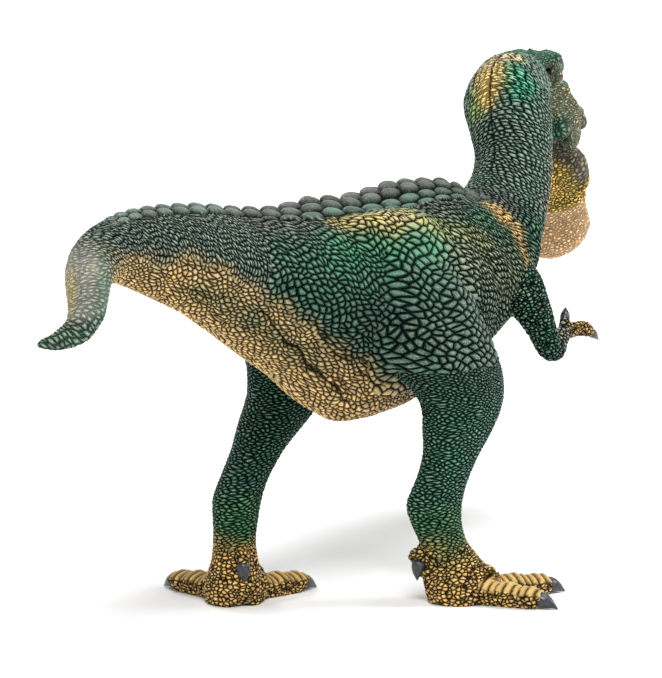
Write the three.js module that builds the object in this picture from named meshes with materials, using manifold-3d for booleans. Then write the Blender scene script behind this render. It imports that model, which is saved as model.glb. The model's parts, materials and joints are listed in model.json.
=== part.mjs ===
// A standing toy tyrannosaur with an open mouth, and a lower jaw that moves on a pin.
// Millimetres, +Z up, snout along +X, the toy's left side along +Y.
import * as THREE from 'three'
import { mergeVertices } from 'three/addons/utils/BufferGeometryUtils.js'
import Module from 'manifold-3d'

const wasm = await Module()
wasm.setup()

// Driving sizes
const clearance = 0.3
const hipHeight = 80
const trunkLength = 100
const trunkWidth = 50
const trunkDepth = 50
const tailLength = 100
const tailThickness = 20
const neckThickness = 20
const legReach = 50
const hipSpread = 20
const shankThickness = 14
const toeLength = 25.5
const toeThickness = 7.2
const clawLength = 7
const clawThickness = 3.6
const armThickness = 9
const fingerThickness = 4
const headLength = 70
const headWidth = 31
const headHeight = 27
const jawLength = 55
const jawWidth = 31
const jawDepth = 12
const barrelDiameter = 9
const barrelLength = 24
const pinDiameter = 2.6
const pinLength = 29
const gumThickness = 2
const toothLength = 5
const toothThickness = 2.4
const pegDiameter = 12
const pegLength = 8

// Driving turns
const headTurn = THREE.MathUtils.degToRad(21)
const jawOpening = THREE.MathUtils.degToRad(37)
const footTurn = THREE.MathUtils.degToRad(32)
const toeSpread = THREE.MathUtils.degToRad(47)

// Counts
const ringsPerSection = 2
const fineSides = 22
const limbSides = 14
const smallSides = 8
const toothSides = 5
const bulgeSides = 12
const bulgeRings = 8
const scuteSides = 5
const scuteRings = 4
const halvings = 20
const teethPerJaw = 18

const forward = new THREE.Vector3(1, 0, 0)
const left = new THREE.Vector3(0, 1, 0)
const upward = new THREE.Vector3(0, 0, 1)
const origin = new THREE.Vector3()
const bothHands = [-1, 1]
const cutSize = 4 * (trunkLength + tailLength)

// Solids, joined and cut

// Six times the volume inside a closed mesh, below zero where its faces point inward
function signedVolume(positions, index) {
  const corner = (k) => new THREE.Vector3().fromBufferAttribute(positions, index[k])
  let volume = 0
  for (let k = 0; k < index.length; k += 3) {
    volume += corner(k).dot(corner(k + 1).cross(corner(k + 2)))
  }
  return volume
}

// A solid that can be joined and cut, from a closed geometry
function solid(geometry) {
  const bare = geometry.clone()
  bare.deleteAttribute('normal')
  bare.deleteAttribute('uv')
  const merged = mergeVertices(bare)
  const index = Array.from(merged.index.array)
  if (signedVolume(merged.attributes.position, index) < 0) {
    index.reverse()
  }
  const vertProperties = new Float32Array(merged.attributes.position.array)
  return new wasm.Manifold(new wasm.Mesh({ numProp: 3, vertProperties, triVerts: new Uint32Array(index) }))
}

function join(solids) {
  return solids.reduce((whole, piece) => whole.add(piece))
}

function toGeometry(body) {
  const mesh = body.getMesh()
  const positions = []
  for (let vertex = 0; vertex < mesh.numVert; vertex++) {
    positions.push(...mesh.vertProperties.slice(vertex * mesh.numProp, vertex * mesh.numProp + 3))
  }
  const geometry = new THREE.BufferGeometry()
  geometry.setAttribute('position', new THREE.Float32BufferAttribute(positions, 3))
  geometry.setIndex(Array.from(mesh.triVerts))
  geometry.computeVertexNormals()
  return geometry
}

function bulge(centre, radii, sides = bulgeSides, rings = bulgeRings) {
  const geometry = new THREE.SphereGeometry(1, sides, rings)
  geometry.scale(radii.x, radii.y, radii.z)
  geometry.translate(centre.x, centre.y, centre.z)
  return solid(geometry)
}

// A round bar with its middle at a place, along a direction
function bar(middle, direction, diameter, length) {
  const geometry = new THREE.CylinderGeometry(diameter / 2, diameter / 2, length, limbSides)
  geometry.applyQuaternion(new THREE.Quaternion().setFromUnitVectors(left, direction))
  geometry.translate(middle.x, middle.y, middle.z)
  return solid(geometry)
}

// A block that holds everything ahead of a place, with its near face square to a direction
function ahead(place, direction) {
  const geometry = new THREE.BoxGeometry(cutSize, cutSize, cutSize)
  geometry.translate(cutSize / 2, 0, 0)
  geometry.applyQuaternion(new THREE.Quaternion().setFromUnitVectors(forward, direction))
  geometry.translate(place.x, place.y, place.z)
  return solid(geometry)
}

// Lofted forms

function section(centre, side, up, down) {
  return { centre, reach: new THREE.Vector3(side, up, down) }
}

// The two directions across a form that runs along its curve: to its left, and upward
function acrossCurve(tangent) {
  const side = new THREE.Vector3().crossVectors(upward, tangent).normalize()
  return [side, new THREE.Vector3().crossVectors(tangent, side)]
}

// The two directions across an upright form with level sections: to its left, and forward
function acrossLevel() {
  return [left, forward]
}

// The same for a leg, whose sections turn outward toward the ground as its foot does
function acrossLeg(hand) {
  return (tangent, centre) => {
    const share = THREE.MathUtils.clamp(1 - centre.z / (hipHeight * straightLegShare), 0, 1)
    const turn = new THREE.Quaternion().setFromAxisAngle(upward, hand * footTurn * share)
    return [left, forward].map((direction) => direction.clone().applyQuaternion(turn))
  }
}

// A place in the body, from its shares along the trunk, across it and above the hips
function bodyPlace([along, across, rise], length = trunkLength) {
  return new THREE.Vector3(along * length, across * trunkWidth, hipHeight + rise * trunkDepth)
}

// A closed form through oval sections, each with a centre and its reach sideways, up and down.
// Its sides draw in toward the top and the bottom by the pinch shares.
function loft(sections, sides, across = acrossCurve, pinchShares = [0, 0]) {
  const centres = new THREE.CatmullRomCurve3(sections.map((one) => one.centre))
  const reaches = new THREE.CatmullRomCurve3(sections.map((one) => one.reach))
  const rings = (sections.length - 1) * ringsPerSection
  const positions = []
  for (let ring = 0; ring <= rings; ring++) {
    const centre = centres.getPoint(ring / rings)
    const reach = reaches.getPoint(ring / rings)
    const [side, up] = across(centres.getTangent(ring / rings), centre)
    for (let corner = 0; corner < sides; corner++) {
      const angle = (corner / sides) * 2 * Math.PI
      const isTop = Math.sin(angle) > 0
      const drawnIn = 1 - Math.abs(Math.sin(angle)) * (isTop ? pinchShares[0] : pinchShares[1])
      const point = centre.clone()
      point.addScaledVector(side, Math.cos(angle) * reach.x * drawnIn)
      point.addScaledVector(up, Math.sin(angle) * (isTop ? reach.y : reach.z))
      positions.push(...point)
    }
  }
  positions.push(...centres.getPoint(0), ...centres.getPoint(1))
  const geometry = new THREE.BufferGeometry()
  geometry.setAttribute('position', new THREE.Float32BufferAttribute(positions, 3))
  geometry.setIndex(ringFaces(rings, sides))
  return solid(geometry)
}

// The triangles between neighbouring rings of corners, and those that close both ends
function ringFaces(rings, sides) {
  const index = []
  const firstTip = (rings + 1) * sides
  const lastRing = rings * sides
  for (let corner = 0; corner < sides; corner++) {
    const next = (corner + 1) % sides
    for (let ring = 0; ring < rings; ring++) {
      const here = ring * sides
      const beyond = here + sides
      index.push(here + corner, beyond + corner, beyond + next)
      index.push(here + corner, beyond + next, here + next)
    }
    index.push(corner, next, firstTip)
    index.push(lastRing + next, lastRing + corner, firstTip + 1)
  }
  return index
}

// The same sections, with both ends moved outward by a length
function lengthened(sections, length) {
  const [first, second] = sections
  const [nextToLast, last] = sections.slice(-2)
  first.centre.addScaledVector(first.centre.clone().sub(second.centre).normalize(), length)
  last.centre.addScaledVector(last.centre.clone().sub(nextToLast.centre).normalize(), length)
  return sections
}

// A curved claw from its root, along a direction, hooked down by a drop
const clawShares = [
  [-0.25, 0, 0.4],
  [0.15, 0, 0.5],
  [0.6, 0.32, 0.38],
  [1, 1, 0.05],
]

function claw(root, direction, length, thickness, drop) {
  const sections = clawShares.map(([along, bend, girth]) => {
    const centre = root.clone().addScaledVector(direction, along * length)
    centre.z -= bend * drop
    return section(centre, girth * thickness, girth * thickness, girth * thickness)
  })
  return loft(sections, smallSides)
}

// The spine, from the tail's tip to the inside of the head.
// Each row: along the trunk, across it, above the hips, and the reach sideways, up and down
const tailShares = [
  [-1.275, -0.13, 0.09, 0.06, 0.05, 0.05],
  [-1.25, -0.22, 0.11, 0.15, 0.12, 0.12],
  [-1.21, -0.29, 0.17, 0.21, 0.19, 0.19],
  [-1.165, -0.26, 0.25, 0.24, 0.24, 0.23],
  [-1.107, -0.17, 0.34, 0.28, 0.3, 0.25],
  [-1.02, -0.07, 0.42, 0.34, 0.36, 0.3],
  [-0.9, -0.01, 0.45, 0.42, 0.45, 0.36],
  [-0.75, 0, 0.42, 0.55, 0.55, 0.52],
  [-0.55, 0, 0.34, 0.73, 0.69, 0.7],
]
const trunkShares = [
  [-0.35, 0, 0.22, 0.38, 0.37, 0.36],
  [-0.15, 0, 0.09, 0.46, 0.5, 0.44],
  [0.08, 0, 0.02, 0.5, 0.57, 0.65],
  [0.3, 0, 0, 0.5, 0.6, 0.61],
  [0.52, -0.02, 0.05, 0.47, 0.55, 0.52],
  [0.69, -0.05, 0.15, 0.4, 0.44, 0.43],
]
const neckShares = [
  [0.81, -0.08, 0.35, 0.74, 0.7, 0.62],
  [0.89, -0.065, 0.62, 0.57, 0.58, 0.6],
  [0.94, 0.025, 0.84, 0.6, 0.68, 0.5],
  [0.99, 0.1, 0.97, 0.66, 0.8, 0.42],
  [1.06, 0.12, 1.04, 0.5, 0.62, 0.34],
  [1.13, 0.14, 1.07, 0.36, 0.44, 0.26],
]
const spinePinchShares = [0.1, 0.34]

function spineSections(grow) {
  const rows = [
    ...tailShares.map((row) => [row, tailThickness, tailThickness, tailLength]),
    ...trunkShares.map((row) => [row, trunkWidth, trunkDepth, trunkLength]),
    ...neckShares.map((row) => [row, neckThickness, neckThickness, trunkLength]),
  ]
  return rows.map(([[along, across, rise, side, up, down], width, depth, length]) => {
    const centre = bodyPlace([along, across, rise], length)
    return section(centre, side * width + grow, up * depth + grow, down * depth + grow)
  })
}

function spine(grow) {
  return loft(lengthened(spineSections(grow), grow), fineSides, acrossCurve, spinePinchShares)
}

// Domed scutes in rows along the back, marched from the neck's root to the tail.
// Each row: along the trunk, and the length of a scute there
const scuteLengthShares = [
  [-1, 0.02],
  [-0.5, 0.033],
  [-0.2, 0.041],
  [0.2, 0.046],
  [0.6, 0.049],
  [0.76, 0.036],
]
const scuteFormShares = { width: 0.8, rise: 0.36, sink: 0.06, slope: 0.01 }
const firstScuteShare = 0.76
// Each row: how many scutes it lies beside the ridge, and how far along the tail it ends
const scuteRowShares = [
  [0, -0.85],
  [1, 0],
  [-1, 0],
]

function scuteLength(x) {
  const share = x / trunkLength
  const next = Math.max(1, scuteLengthShares.findIndex(([along]) => along >= share))
  const [[startAlong, startLength], [endAlong, endLength]] = scuteLengthShares.slice(next - 1, next + 1)
  const between = THREE.MathUtils.clamp((share - startAlong) / (endAlong - startAlong), 0, 1)
  return THREE.MathUtils.lerp(startLength, endLength, between) * trunkLength
}

// A place on the back's surface, at a share of the spine and a turn from the ridge
function backPlace(centres, reaches, share, turn) {
  const [side, up] = acrossCurve(centres.getTangent(share))
  const reach = reaches.getPoint(share)
  const place = centres.getPoint(share)
  place.addScaledVector(side, Math.sin(turn) * reach.x * (1 - Math.cos(turn) * spinePinchShares[0]))
  return place.addScaledVector(up, Math.cos(turn) * reach.y)
}

// One scute on the back, at a distance along and so many scutes down the side from the ridge.
// It lies along the slope of the surface, its rim sunk into it
function scute(centres, reaches, x, row) {
  let low = 0
  let high = 1
  for (let halving = 0; halving < halvings; halving++) {
    const half = (low + high) / 2
    if (centres.getPoint(half).x < x) {
      low = half
    } else {
      high = half
    }
  }
  const length = scuteLength(x)
  const { width, rise, sink, slope } = scuteFormShares
  const reach = reaches.getPoint(low)
  const [side, up] = acrossCurve(centres.getTangent(low))
  const turn = (2 * row * width * length) / (reach.x + reach.y)
  const before = backPlace(centres, reaches, low - slope, turn)
  const way = backPlace(centres, reaches, low + slope, turn).sub(before).normalize()
  const outward = side.clone().multiplyScalar(Math.sin(turn)).addScaledVector(up, Math.cos(turn))
  const beside = new THREE.Vector3().crossVectors(outward, way).normalize()
  outward.crossVectors(way, beside)
  const place = backPlace(centres, reaches, low, turn).addScaledVector(outward, -sink * length)
  const frame = new THREE.Matrix4().makeBasis(way, beside, outward).setPosition(place)
  const radii = new THREE.Vector3(length / 2, (width * length) / 2, rise * length)
  return bulge(origin, radii, scuteSides, scuteRings).transform(frame.elements)
}

function scutes() {
  const sections = spineSections(0)
  const centres = new THREE.CatmullRomCurve3(sections.map((one) => one.centre))
  const reaches = new THREE.CatmullRomCurve3(sections.map((one) => one.reach))
  const domes = []
  for (const [row, endShare] of scuteRowShares) {
    let x = firstScuteShare * trunkLength
    x -= (Math.abs(row) * scuteLength(x)) / 2
    while (x > endShare * tailLength) {
      domes.push(scute(centres, reaches, x, row))
      x -= scuteLength(x)
    }
  }
  return domes
}

function back() {
  return join([spine(0), ...scutes()])
}

// The muscles that stand out of the trunk on both sides.
// Each row: along the trunk, out from its middle, above the hips, and the reach along, sideways and up
const muscleShares = [
  [0.1, 0.22, 0.33, 0.27, 0.2, 0.235],
  [0.66, 0.27, 0.12, 0.13, 0.14, 0.25],
]

function muscles(hand) {
  return muscleShares.map(([along, out, rise, long, wide, deep]) => {
    const centre = bodyPlace([along, hand * out, rise])
    return bulge(centre, new THREE.Vector3(long * trunkLength, wide * trunkWidth, deep * trunkDepth))
  })
}

// Each leg, from inside the trunk down to the sole. Each row: height, the reach sideways, forward
// and backward, the right leg's place forward and outward, and the left leg's
const legShares = [
  [1.22, 0.3, 0.4, 0.4, 0.22, 0.72, 0.14, 0.72],
  [1.14, 0.75, 1.15, 1.1, 0.24, 0.8, 0.18, 0.8],
  [1.04, 0.86, 1.5, 1.36, 0.27, 0.96, 0.22, 0.9],
  [0.9, 0.9, 1.62, 1.36, 0.34, 1.08, 0.27, 1.0],
  [0.77, 0.83, 1.42, 1.16, 0.47, 1.2, 0.32, 1.06],
  [0.67, 0.71, 1.04, 0.92, 0.56, 1.26, 0.25, 1.08],
  [0.58, 0.62, 0.78, 0.78, 0.51, 1.29, 0.12, 1.1],
  [0.5, 0.5, 0.57, 0.6, 0.44, 1.3, 0.0, 1.11],
  [0.42, 0.46, 0.49, 0.58, 0.36, 1.3, -0.12, 1.1],
  [0.355, 0.46, 0.5, 0.68, 0.31, 1.29, -0.2, 1.08],
  [0.29, 0.43, 0.48, 0.57, 0.31, 1.29, -0.23, 1.06],
  [0.21, 0.4, 0.47, 0.47, 0.36, 1.31, -0.25, 1.05],
  [0.13, 0.46, 0.66, 0.54, 0.42, 1.36, -0.25, 1.05],
  [0.05, 0.58, 0.88, 0.64, 0.45, 1.4, -0.25, 1.05],
  [-0.03, 0.56, 0.84, 0.6, 0.46, 1.41, -0.25, 1.05],
]
const straightLegShare = 0.7

function legSections(hand, grow) {
  return legShares.map(([height, side, front, back, ...places]) => {
    const [along, out] = hand < 0 ? places : places.slice(2)
    const centre = new THREE.Vector3(along * legReach, hand * out * hipSpread, height * hipHeight)
    const [sideways, frontward, backward] = [side, front, back].map((share) => share * shankThickness + grow)
    return section(centre, sideways, frontward, backward)
  })
}

function legForm(hand, grow) {
  return loft(lengthened(legSections(hand, grow), grow), limbSides, acrossLeg(hand))
}

// One toe on the ground, from inside the foot to its claw. Each row: along the toe, height and girth
const toeShares = [
  [0.05, 1.2, 0.85],
  [0.32, 0.86, 0.66],
  [0.5, 0.74, 0.56],
  [0.62, 0.82, 0.6],
  [0.75, 0.66, 0.5],
  [0.88, 0.72, 0.52],
  [1, 0.56, 0.42],
  [1.05, 0.2, 0.2],
]
const toeLengthShares = [0.92, 1.06, 0.92]
const underToeShare = 1.2
const toeNailShares = { rise: 0.34, drop: 0.3 }

function toe(root, heading, length) {
  const direction = new THREE.Vector3(Math.cos(heading), Math.sin(heading), 0)
  const sections = toeShares.map(([along, height, girth]) => {
    const centre = root.clone().addScaledVector(direction, along * length)
    centre.z = (height * toeThickness) / 2
    return section(centre, girth * toeThickness, centre.z, centre.z * underToeShare)
  })
  const nailRoot = root.clone().addScaledVector(direction, length)
  nailRoot.z = toeNailShares.rise * toeThickness
  const nail = claw(nailRoot, direction, clawLength, clawThickness, toeNailShares.drop * toeThickness)
  return [loft(sections, smallSides), nail]
}

// The small toe at the back of the leg, with its claw pointing down.
// Each row: out of the leg's middle, as a share of the shank, and down, as a share of a toe
const spurShares = [
  [0, 0],
  [0.5, 0.3],
  [0.56, 0.75],
]
const spurGirthShare = 0.28
const spurNailShares = { length: 0.6, girth: 0.8 }

function spur(place, hand) {
  const inward = new THREE.Vector3(-0.6, -0.8 * hand, 0)
  const girth = spurGirthShare * toeThickness
  const sections = spurShares.map(([out, drop]) => {
    const centre = place.clone().addScaledVector(inward, out * shankThickness)
    centre.z -= drop * toeThickness
    return section(centre, girth, girth, girth)
  })
  const nailRoot = sections[spurShares.length - 1].centre
  const nailLength = spurNailShares.length * clawLength
  const nailThickness = spurNailShares.girth * clawThickness
  const down = new THREE.Vector3(-0.2, -0.25 * hand, -0.95).normalize()
  return [loft(sections, smallSides, acrossLevel), claw(nailRoot, down, nailLength, nailThickness, 0)]
}

function leg(hand) {
  const sections = legSections(hand, 0)
  const pad = sections[legShares.length - 2].centre.clone().setZ(0)
  const toes = toeLengthShares.flatMap((share, k) => {
    return toe(pad, hand * footTurn + (1 - k) * toeSpread, share * toeLength)
  })
  const whole = join([legForm(hand, 0), ...toes, ...spur(sections[legShares.length - 4].centre, hand)])
  return whole.intersect(ahead(origin, upward))
}

// Each arm, from inside the trunk to the wrist.
// Each row: along the trunk, out from its middle, above the hips, and the thickness
const armShares = [
  [0.64, 0.2, 0.12, 0.84],
  [0.67, 0.34, 0.03, 0.88],
  [0.7, 0.42, -0.1, 0.62],
  [0.73, 0.46, -0.24, 0.46],
  [0.755, 0.48, -0.35, 0.38],
  [0.785, 0.48, -0.36, 0.33],
  [0.82, 0.46, -0.32, 0.28],
  [0.85, 0.445, -0.285, 0.28],
]
const upperFingerShares = [
  [0.85, 0.445, -0.285, 0.42],
  [0.87, 0.435, -0.25, 0.42],
  [0.88, 0.425, -0.21, 0.36],
]
const lowerFingerShares = [
  [0.85, 0.445, -0.285, 0.5],
  [0.9, 0.45, -0.275, 0.52],
  [0.955, 0.46, -0.275, 0.56],
  [0.985, 0.465, -0.3, 0.42],
]
const fingerNailShares = { length: 0.6, girth: 0.6, drop: 0.2 }

function armSections(rows, hand, thickness, grow) {
  return rows.map(([along, out, rise, share]) => {
    const reach = share * thickness + grow
    return section(bodyPlace([along, hand * out, rise]), reach, reach, reach)
  })
}

function armForm(hand, grow) {
  return loft(lengthened(armSections(armShares, hand, armThickness, grow), grow), limbSides)
}

function finger(rows, hand) {
  const sections = armSections(rows, hand, fingerThickness, 0)
  const [knuckle, tip] = sections.slice(-2).map((one) => one.centre)
  const direction = tip.clone().sub(knuckle).normalize()
  const nailLength = fingerNailShares.length * clawLength
  const drop = fingerNailShares.drop * fingerThickness
  const nail = claw(tip, direction, nailLength, fingerNailShares.girth * clawThickness, drop)
  return join([loft(sections, smallSides), nail])
}

function arm(hand) {
  return join([armForm(hand, 0), finger(upperFingerShares, hand), finger(lowerFingerShares, hand)])
}

// The head, in its own place: the jaw's hinge at its origin and the snout along +X.
// Each row: along, above the hinge, and the reach sideways, up and down
const skullShares = [
  [-0.16, 0.12, 0.43, 0.76, 0.18],
  [-0.08, 0.06, 0.47, 0.88, 0.14],
  [0.04, 0.02, 0.5, 0.95, 0.1],
  [0.16, 0.06, 0.48, 0.88, 0.1],
  [0.28, 0.1, 0.4, 0.7, 0.12],
  [0.42, 0.12, 0.33, 0.58, 0.12],
  [0.58, 0.13, 0.28, 0.48, 0.12],
  [0.7, 0.14, 0.25, 0.44, 0.12],
  [0.78, 0.18, 0.17, 0.32, 0.1],
  [0.81, 0.24, 0.06, 0.12, 0.06],
]
const skullPinchShares = [0.84, 0]
// Each row: along the head, out from its middle, above the hinge, and the reach along, out and up
const browShares = [0.12, 0.13, 0.78, 0.14, 0.12, 0.14]
const cheekShares = [-0.02, 0.42, 0.04, 0.1, 0.09, 0.2]
const eyeShares = [0.2, 0.18, 0.6, 0.04, 0.06, 0.09]
const nostrilShares = [0.73, 0.12, 0.42, 0.03, 0.04, 0.05]
const hollowShares = [0.4, 0.27, 0.4, 0.1, 0.08, 0.13]
const lipShare = 0.1
const mouthCornerShare = 0.05

function headBulge([along, out, rise, long, wide, deep], hand) {
  const centre = new THREE.Vector3(along * headLength, hand * out * headWidth, rise * headHeight)
  return bulge(centre, new THREE.Vector3(long * headLength, wide * headWidth, deep * headHeight))
}

function headLoft(rows, length, width, height, pinchShares) {
  const sections = rows.map(([along, rise, side, up, down]) => {
    const centre = new THREE.Vector3(along * length, 0, rise * height)
    return section(centre, side * width, up * height, down * height)
  })
  return loft(sections, fineSides, acrossCurve, pinchShares)
}

// The edge of a mouth plate, through points along and out from the middle line
function gumEdge(rows, length, width) {
  const half = rows.map(([along, out]) => new THREE.Vector2(along * length, out * width))
  const mirrored = half.slice(0, -1).map((point) => new THREE.Vector2(point.x, -point.y))
  return new THREE.SplineCurve([...half, ...mirrored.reverse()])
}

// A place a share of the way along an edge, moved outward by a margin
function besideEdge(edge, share, margin) {
  const tangent = edge.getTangentAt(share)
  return edge.getPointAt(share).add(new THREE.Vector2(-tangent.y, tangent.x).multiplyScalar(margin))
}

function gumPlate(edge, margin, bottom, thickness) {
  const steps = 2 * fineSides
  const outline = Array.from({ length: steps + 1 }, (_, k) => besideEdge(edge, k / steps, margin))
  outline[0].x -= margin
  outline[steps].x -= margin
  const shape = new THREE.Shape(outline)
  const geometry = new THREE.ExtrudeGeometry(shape, { depth: thickness, bevelEnabled: false, steps: 1 })
  geometry.translate(0, 0, bottom)
  return solid(geometry)
}

// Teeth just inside an edge, rooted in the plate and pointing down, or up where the sign is +1
const shortToothShare = 0.8
const lowerToothShare = 0.7
const toothInsetShare = 0.6

function teeth(edge, rootHeight, sign, length) {
  const root = gumThickness / 2
  return Array.from({ length: teethPerJaw }, (_, k) => {
    const size = length * (k % 2 ? 1 : shortToothShare)
    const place = besideEdge(edge, (k + 0.5) / teethPerJaw, -toothInsetShare * toothThickness)
    const geometry = new THREE.ConeGeometry(toothThickness / 2, size + root, toothSides, 1)
    geometry.rotateX((sign * Math.PI) / 2)
    geometry.translate(place.x, place.y, rootHeight + (sign * (size - root)) / 2)
    return solid(geometry)
  })
}

const palateShares = [
  [0.14, 0.38],
  [0.28, 0.31],
  [0.42, 0.25],
  [0.58, 0.21],
  [0.7, 0.17],
  [0.755, 0.09],
  [0.765, 0],
]
const floorShares = [
  [0.16, 0.4],
  [0.3, 0.385],
  [0.45, 0.35],
  [0.6, 0.31],
  [0.78, 0.26],
  [0.91, 0.14],
  [0.93, 0],
]
const lipHeight = lipShare * headHeight

const palateEdge = gumEdge(palateShares, headLength, headWidth)

function upperMouth() {
  const plate = gumPlate(palateEdge, 0, lipHeight, gumThickness)
  return join([plate, ...teeth(palateEdge, lipHeight, -1, toothLength)])
}

// The lower jaw, in its own place, with its hinge at the origin.
// Each row: along, above the hinge, and the reach sideways, up and down
const jawShares = [
  [-0.02, -0.1, 0.36, 0.26, 0.3],
  [0.07, -0.2, 0.4, 0.24, 0.46],
  [0.16, -0.28, 0.48, 0.24, 0.54],
  [0.42, -0.26, 0.45, 0.24, 0.5],
  [0.6, -0.26, 0.43, 0.24, 0.56],
  [0.78, -0.26, 0.42, 0.26, 0.86],
  [0.92, -0.22, 0.33, 0.24, 0.7],
  [0.99, -0.2, 0.12, 0.14, 0.34],
]
const jawPinchShares = [0, 0.1]
const jawLipShare = -0.1
const jawLipHeight = jawLipShare * jawDepth
const floorEdge = gumEdge(floorShares, jawLength, jawWidth)
// Each row: along the jaw, above its lips, and the reach along, out and up
const tongueShares = [0.46, -0.02, 0.27, 0.15, 0.2]

function tongue() {
  const [along, rise, long, wide, deep] = tongueShares
  const centre = new THREE.Vector3(along * jawLength, 0, jawLipHeight + rise * jawDepth)
  return bulge(centre, new THREE.Vector3(long * jawLength, wide * jawWidth, deep * jawDepth))
}

function lowerMouth() {
  const plate = gumPlate(floorEdge, 0, jawLipHeight - gumThickness, gumThickness)
  const rows = teeth(floorEdge, jawLipHeight, 1, lowerToothShare * toothLength)
  const tonguePlane = new THREE.Vector3(0, 0, jawLipHeight - gumThickness / 2)
  return join([plate, tongue().intersect(ahead(tonguePlane, upward)), ...rows])
}

function jaw() {
  const lipPlane = new THREE.Vector3(0, 0, jawLipHeight)
  const whole = headLoft(jawShares, jawLength, jawWidth, jawDepth, jawPinchShares)
  const form = whole.subtract(ahead(lipPlane, upward))
  const bottom = jawLipHeight - gumThickness - clearance
  const recess = gumPlate(floorEdge, clearance, bottom, 2 * gumThickness + clearance)
  const barrel = bar(origin, left, barrelDiameter, barrelLength)
  const bore = bar(origin, left, pinDiameter + 2 * clearance, 2 * barrelLength)
  return form.subtract(recess).add(barrel).subtract(bore)
}

function skull() {
  const form = headLoft(skullShares, headLength, headWidth, headHeight, skullPinchShares)
  const outside = bothHands.flatMap((hand) => {
    return [browShares, cheekShares, eyeShares].map((shares) => headBulge(shares, hand))
  })
  const pits = bothHands.flatMap((hand) => {
    return [nostrilShares, hollowShares].map((shares) => headBulge(shares, hand))
  })
  const mouthCorner = new THREE.Vector3(mouthCornerShare * headLength, 0, lipHeight)
  const mouth = ahead(mouthCorner, forward).intersect(ahead(mouthCorner, new THREE.Vector3(0, 0, -1)))
  const recess = gumPlate(palateEdge, clearance, lipHeight - gumThickness, 2 * gumThickness + clearance)
  const barrelSpace = bar(origin, left, barrelDiameter + 2 * clearance, barrelLength + 2 * clearance)
  const bore = bar(origin, left, pinDiameter + 2 * clearance, pinLength + 2 * clearance)
  return join([form, ...outside]).subtract(join([mouth, recess, barrelSpace, bore, ...pits]))
}

// The joints between the mouldings: a flat cut with a gap, and a peg across it
const headPlaceShares = [1.12, 0.13, 0.78]
const tailJointShares = [-0.45, 0, 0.26]
const neckJointShares = [0.82, -0.08, 0.36]
const headPlace = bodyPlace(headPlaceShares)
const tailJoint = bodyPlace(tailJointShares, tailLength)
const neckJoint = bodyPlace(neckJointShares)
const neckDirection = new THREE.Vector3(0.6, 0, 0.8)

function behindCut(body, place, direction) {
  return body.subtract(ahead(place.clone().addScaledVector(direction, -clearance / 2), direction))
}

function aheadOfCut(body, place, direction) {
  return body.intersect(ahead(place.clone().addScaledVector(direction, clearance / 2), direction))
}

function peg(place, direction, grow) {
  return bar(place, direction, pegDiameter + 2 * grow, 2 * (pegLength + grow))
}

function tail() {
  return behindCut(back(), tailJoint, forward).add(peg(tailJoint, forward, 0))
}

function neck() {
  return aheadOfCut(back(), neckJoint, neckDirection).add(peg(neckJoint, neckDirection, 0))
}

function torso() {
  const whole = join([back(), ...bothHands.flatMap((hand) => muscles(hand))])
  const middle = aheadOfCut(behindCut(whole, neckJoint, neckDirection), tailJoint, forward)
  const pockets = bothHands.flatMap((hand) => [legForm(hand, clearance), armForm(hand, clearance)])
  const sockets = [peg(tailJoint, forward, clearance), peg(neckJoint, neckDirection, clearance)]
  return middle.subtract(join([...pockets, ...sockets]))
}

const headTransform = new THREE.Matrix4().makeRotationZ(headTurn).setPosition(headPlace)
const jawTransform = headTransform.clone().multiply(new THREE.Matrix4().makeRotationY(jawOpening))

function placed(body, transform) {
  return body.transform(transform.elements)
}

const finishes = {
  green: { color: 0x1f5a45, roughness: 0.5, metalness: 0 },
  yellow: { color: 0xc79a3c, roughness: 0.5, metalness: 0 },
  ivory: { color: 0xd8c9a0, roughness: 0.4, metalness: 0 },
  steel: { color: 0x9a9a9a, roughness: 0.35, metalness: 1 },
}

const pieces = [
  ['torso', torso(), finishes.green],
  ['tail', tail(), finishes.green],
  ['neck', neck(), finishes.green],
  ['skull', placed(skull(), headTransform).subtract(spine(clearance)), finishes.green],
  ['upper_teeth', placed(upperMouth(), headTransform), finishes.ivory],
  ['jaw_pin', placed(bar(origin, left, pinDiameter, pinLength), headTransform), finishes.steel],
  ['lower_jaw', placed(jaw(), jawTransform), finishes.yellow],
  ['lower_teeth', placed(lowerMouth(), jawTransform), finishes.ivory],
  ['right_leg', leg(-1), finishes.green],
  ['left_leg', leg(1), finishes.green],
  ['right_arm', arm(-1), finishes.green],
  ['left_arm', arm(1), finishes.green],
]

const figure = new THREE.Group()
for (const [name, body, finish] of pieces) {
  const mesh = new THREE.Mesh(toGeometry(body), new THREE.MeshStandardMaterial(finish))
  mesh.name = name
  figure.add(mesh)
}

// The toy's box stands on the ground with its middle over the origin
const box = new THREE.Box3().setFromObject(figure)
const middle = box.getCenter(new THREE.Vector3())
figure.position.set(-middle.x, -middle.y, -box.min.z)
const group = new THREE.Group()
group.add(figure)

export default group
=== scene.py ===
# Looks of a standing toy tyrannosaur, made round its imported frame.
# The frame is in metres. Skins are made in millimetres and scaled down at the end.
import json
import math

import bmesh
import bpy
import numpy as np
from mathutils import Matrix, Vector
from mathutils.bvhtree import BVHTree


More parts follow.
